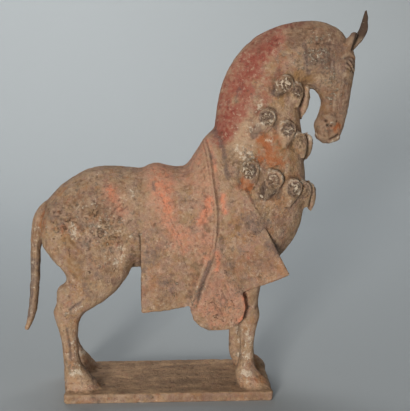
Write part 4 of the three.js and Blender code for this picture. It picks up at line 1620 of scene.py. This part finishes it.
# dirt and painted shade, darker in hollows
hollow_dirt_and_shade = (bench.mask("hollow") * (bench.mottle(size=4, seed=17, detail=4) + 0.35)).above(0.5, 0.45)
skin = bench.mix(skin, EARTH_AND_SHADE, hollow_dirt_and_shade * 0.5)
# painted shade in creases and painted shadow along the pendants' rims
painted_crease_shade = worn("crease_shade", size=2.5, seed=28, level=0.5, soft=0.3, wear=1.2)
skin = bench.mix(skin, EARTH_AND_SHADE, painted_crease_shade * 0.75)
on_edges = (bench.mask("edge") * (bench.mottle(size=4, seed=18) + 0.4)).above(0.6, 0.4)
skin = bench.mix(skin, WORN_EDGE, on_edges * 0.3)
flakes_of_crust = worn("crust", size=2.4, seed=19, level=0.7, soft=0.2, wear=3.2)
skin = bench.mix(skin, CRUST, flakes_of_crust * 0.72)
print(len(bench.tree.nodes), "nodes after the dirt")

# %% [markdown]
# ## Flecks and combed lines
#
# Grit and soil left dark and pale specks of a millimetre or two, thick in some places and missing in
# others. Two twisted noises make them, and a slow one moves their levels against each other, so that dark
# specks gather where pale ones are few. Noise squeezed along one axis draws the combed lines.

# %% Pits, flecks and combed lines
MARK = 2.5  # millimetres
pitted = bench.mask("pitted")
clumps = (bench.mottle(size=9, seed=33, detail=2) - 0.5) * 0.4
dark_noise = bench.mottle(MARK, seed=30, detail=5, roughness=0.75, twist=0.8)
dark_marks = dark_noise.above(0.72 - 0.12 * pitted - clumps, 0.05)
pale_noise = bench.mottle(MARK, seed=31, detail=5, roughness=0.75, twist=0.8)
pale_marks = pale_noise.above(0.68 - 0.125 * pitted + clumps, 0.05)
combed = bench.mask("combed")
lines = bench.mottle(size=1.5, seed=32, detail=3, place=bench.stretched(1, 1, 0.14))
skin = bench.mix(skin, SOOT, dark_marks * 0.5)
skin = bench.mix(skin, CRUST, pale_marks * 0.6)
skin = bench.mix(skin, SOOT, combed * lines.above(0.56, 0.05) * 0.3)
skin = bench.mix(skin, CRUST, combed * (1 - lines).above(0.58, 0.05) * 0.2)
print(len(bench.tree.nodes), "nodes after the flecks")

# %% [markdown]
# ## Grain
#
# Clay has no gloss, so its roughness stays high and varies a little. Grain that is too small for the mesh
# is a bump: two noises, raised by flecks of crust, sunk by dark pits and cut by the grooves of the caps.

# %% Roughness, grain and the shader
BUMP_HEIGHT = 0.9  # millimetres
SPECULAR = 0.3
roughness = 0.86 + (bench.mottle(size=6, seed=20) - 0.5) * 0.16
grain = bench.mottle(size=0.9, seed=21, detail=3) + bench.mottle(size=2.6, seed=22, detail=4) * 1.4
grain = grain + 0.7 * pale_marks - 0.8 * dark_marks
grain = grain + 0.5 * combed * lines - 0.6 * bench.mask("cap") * groove
bump = {"Strength": 1.0, "Distance": BUMP_HEIGHT * MM, "Height": grain}
bench.plug(skin, bench.shader.inputs["Base Color"])
bench.plug(roughness, bench.shader.inputs["Roughness"])
bench.plug(bench.node("ShaderNodeBump", sockets=bump), bench.shader.inputs["Normal"])
bench.shader.inputs["Specular IOR Level"].default_value = SPECULAR
print(len(bench.tree.nodes), "nodes in the whole material")

# %% [markdown]
# ## The finished piece
#
# The clay was shaped in millimetres. Now its points go back to metres, the masks are stored on the mesh as
# attributes, and the piece takes the place of the frame's plain solid. It rides on the only body there is.

# %% Finish the horse
def finished_horse():
    """The clay as an object in metres, with its masks and its material."""
    mesh = clay.mesh
    clay.points[:, 2] = np.maximum(clay.points[:, 2], 0)
    mesh.vertices.foreach_set("co", (clay.points * MM).ravel())
    for name, mask in paint.items():
        layer = mesh.attributes.new(name, "FLOAT", "POINT")
        layer.data.foreach_set("value", mask.astype(np.float32))
    mesh.shade_smooth()
    mesh.update()
    mesh.materials.clear()
    mesh.materials.append(bench.material)
    made = bpy.data.objects.new("earthenware_horse", mesh)
    bpy.context.scene.collection.objects.link(made)
    return made


horse = finished_horse()
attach(horse, "root")
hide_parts(NODE)
print("the horse stands", [round(side * 1000, 1) for side in horse.dimensions], "mm")
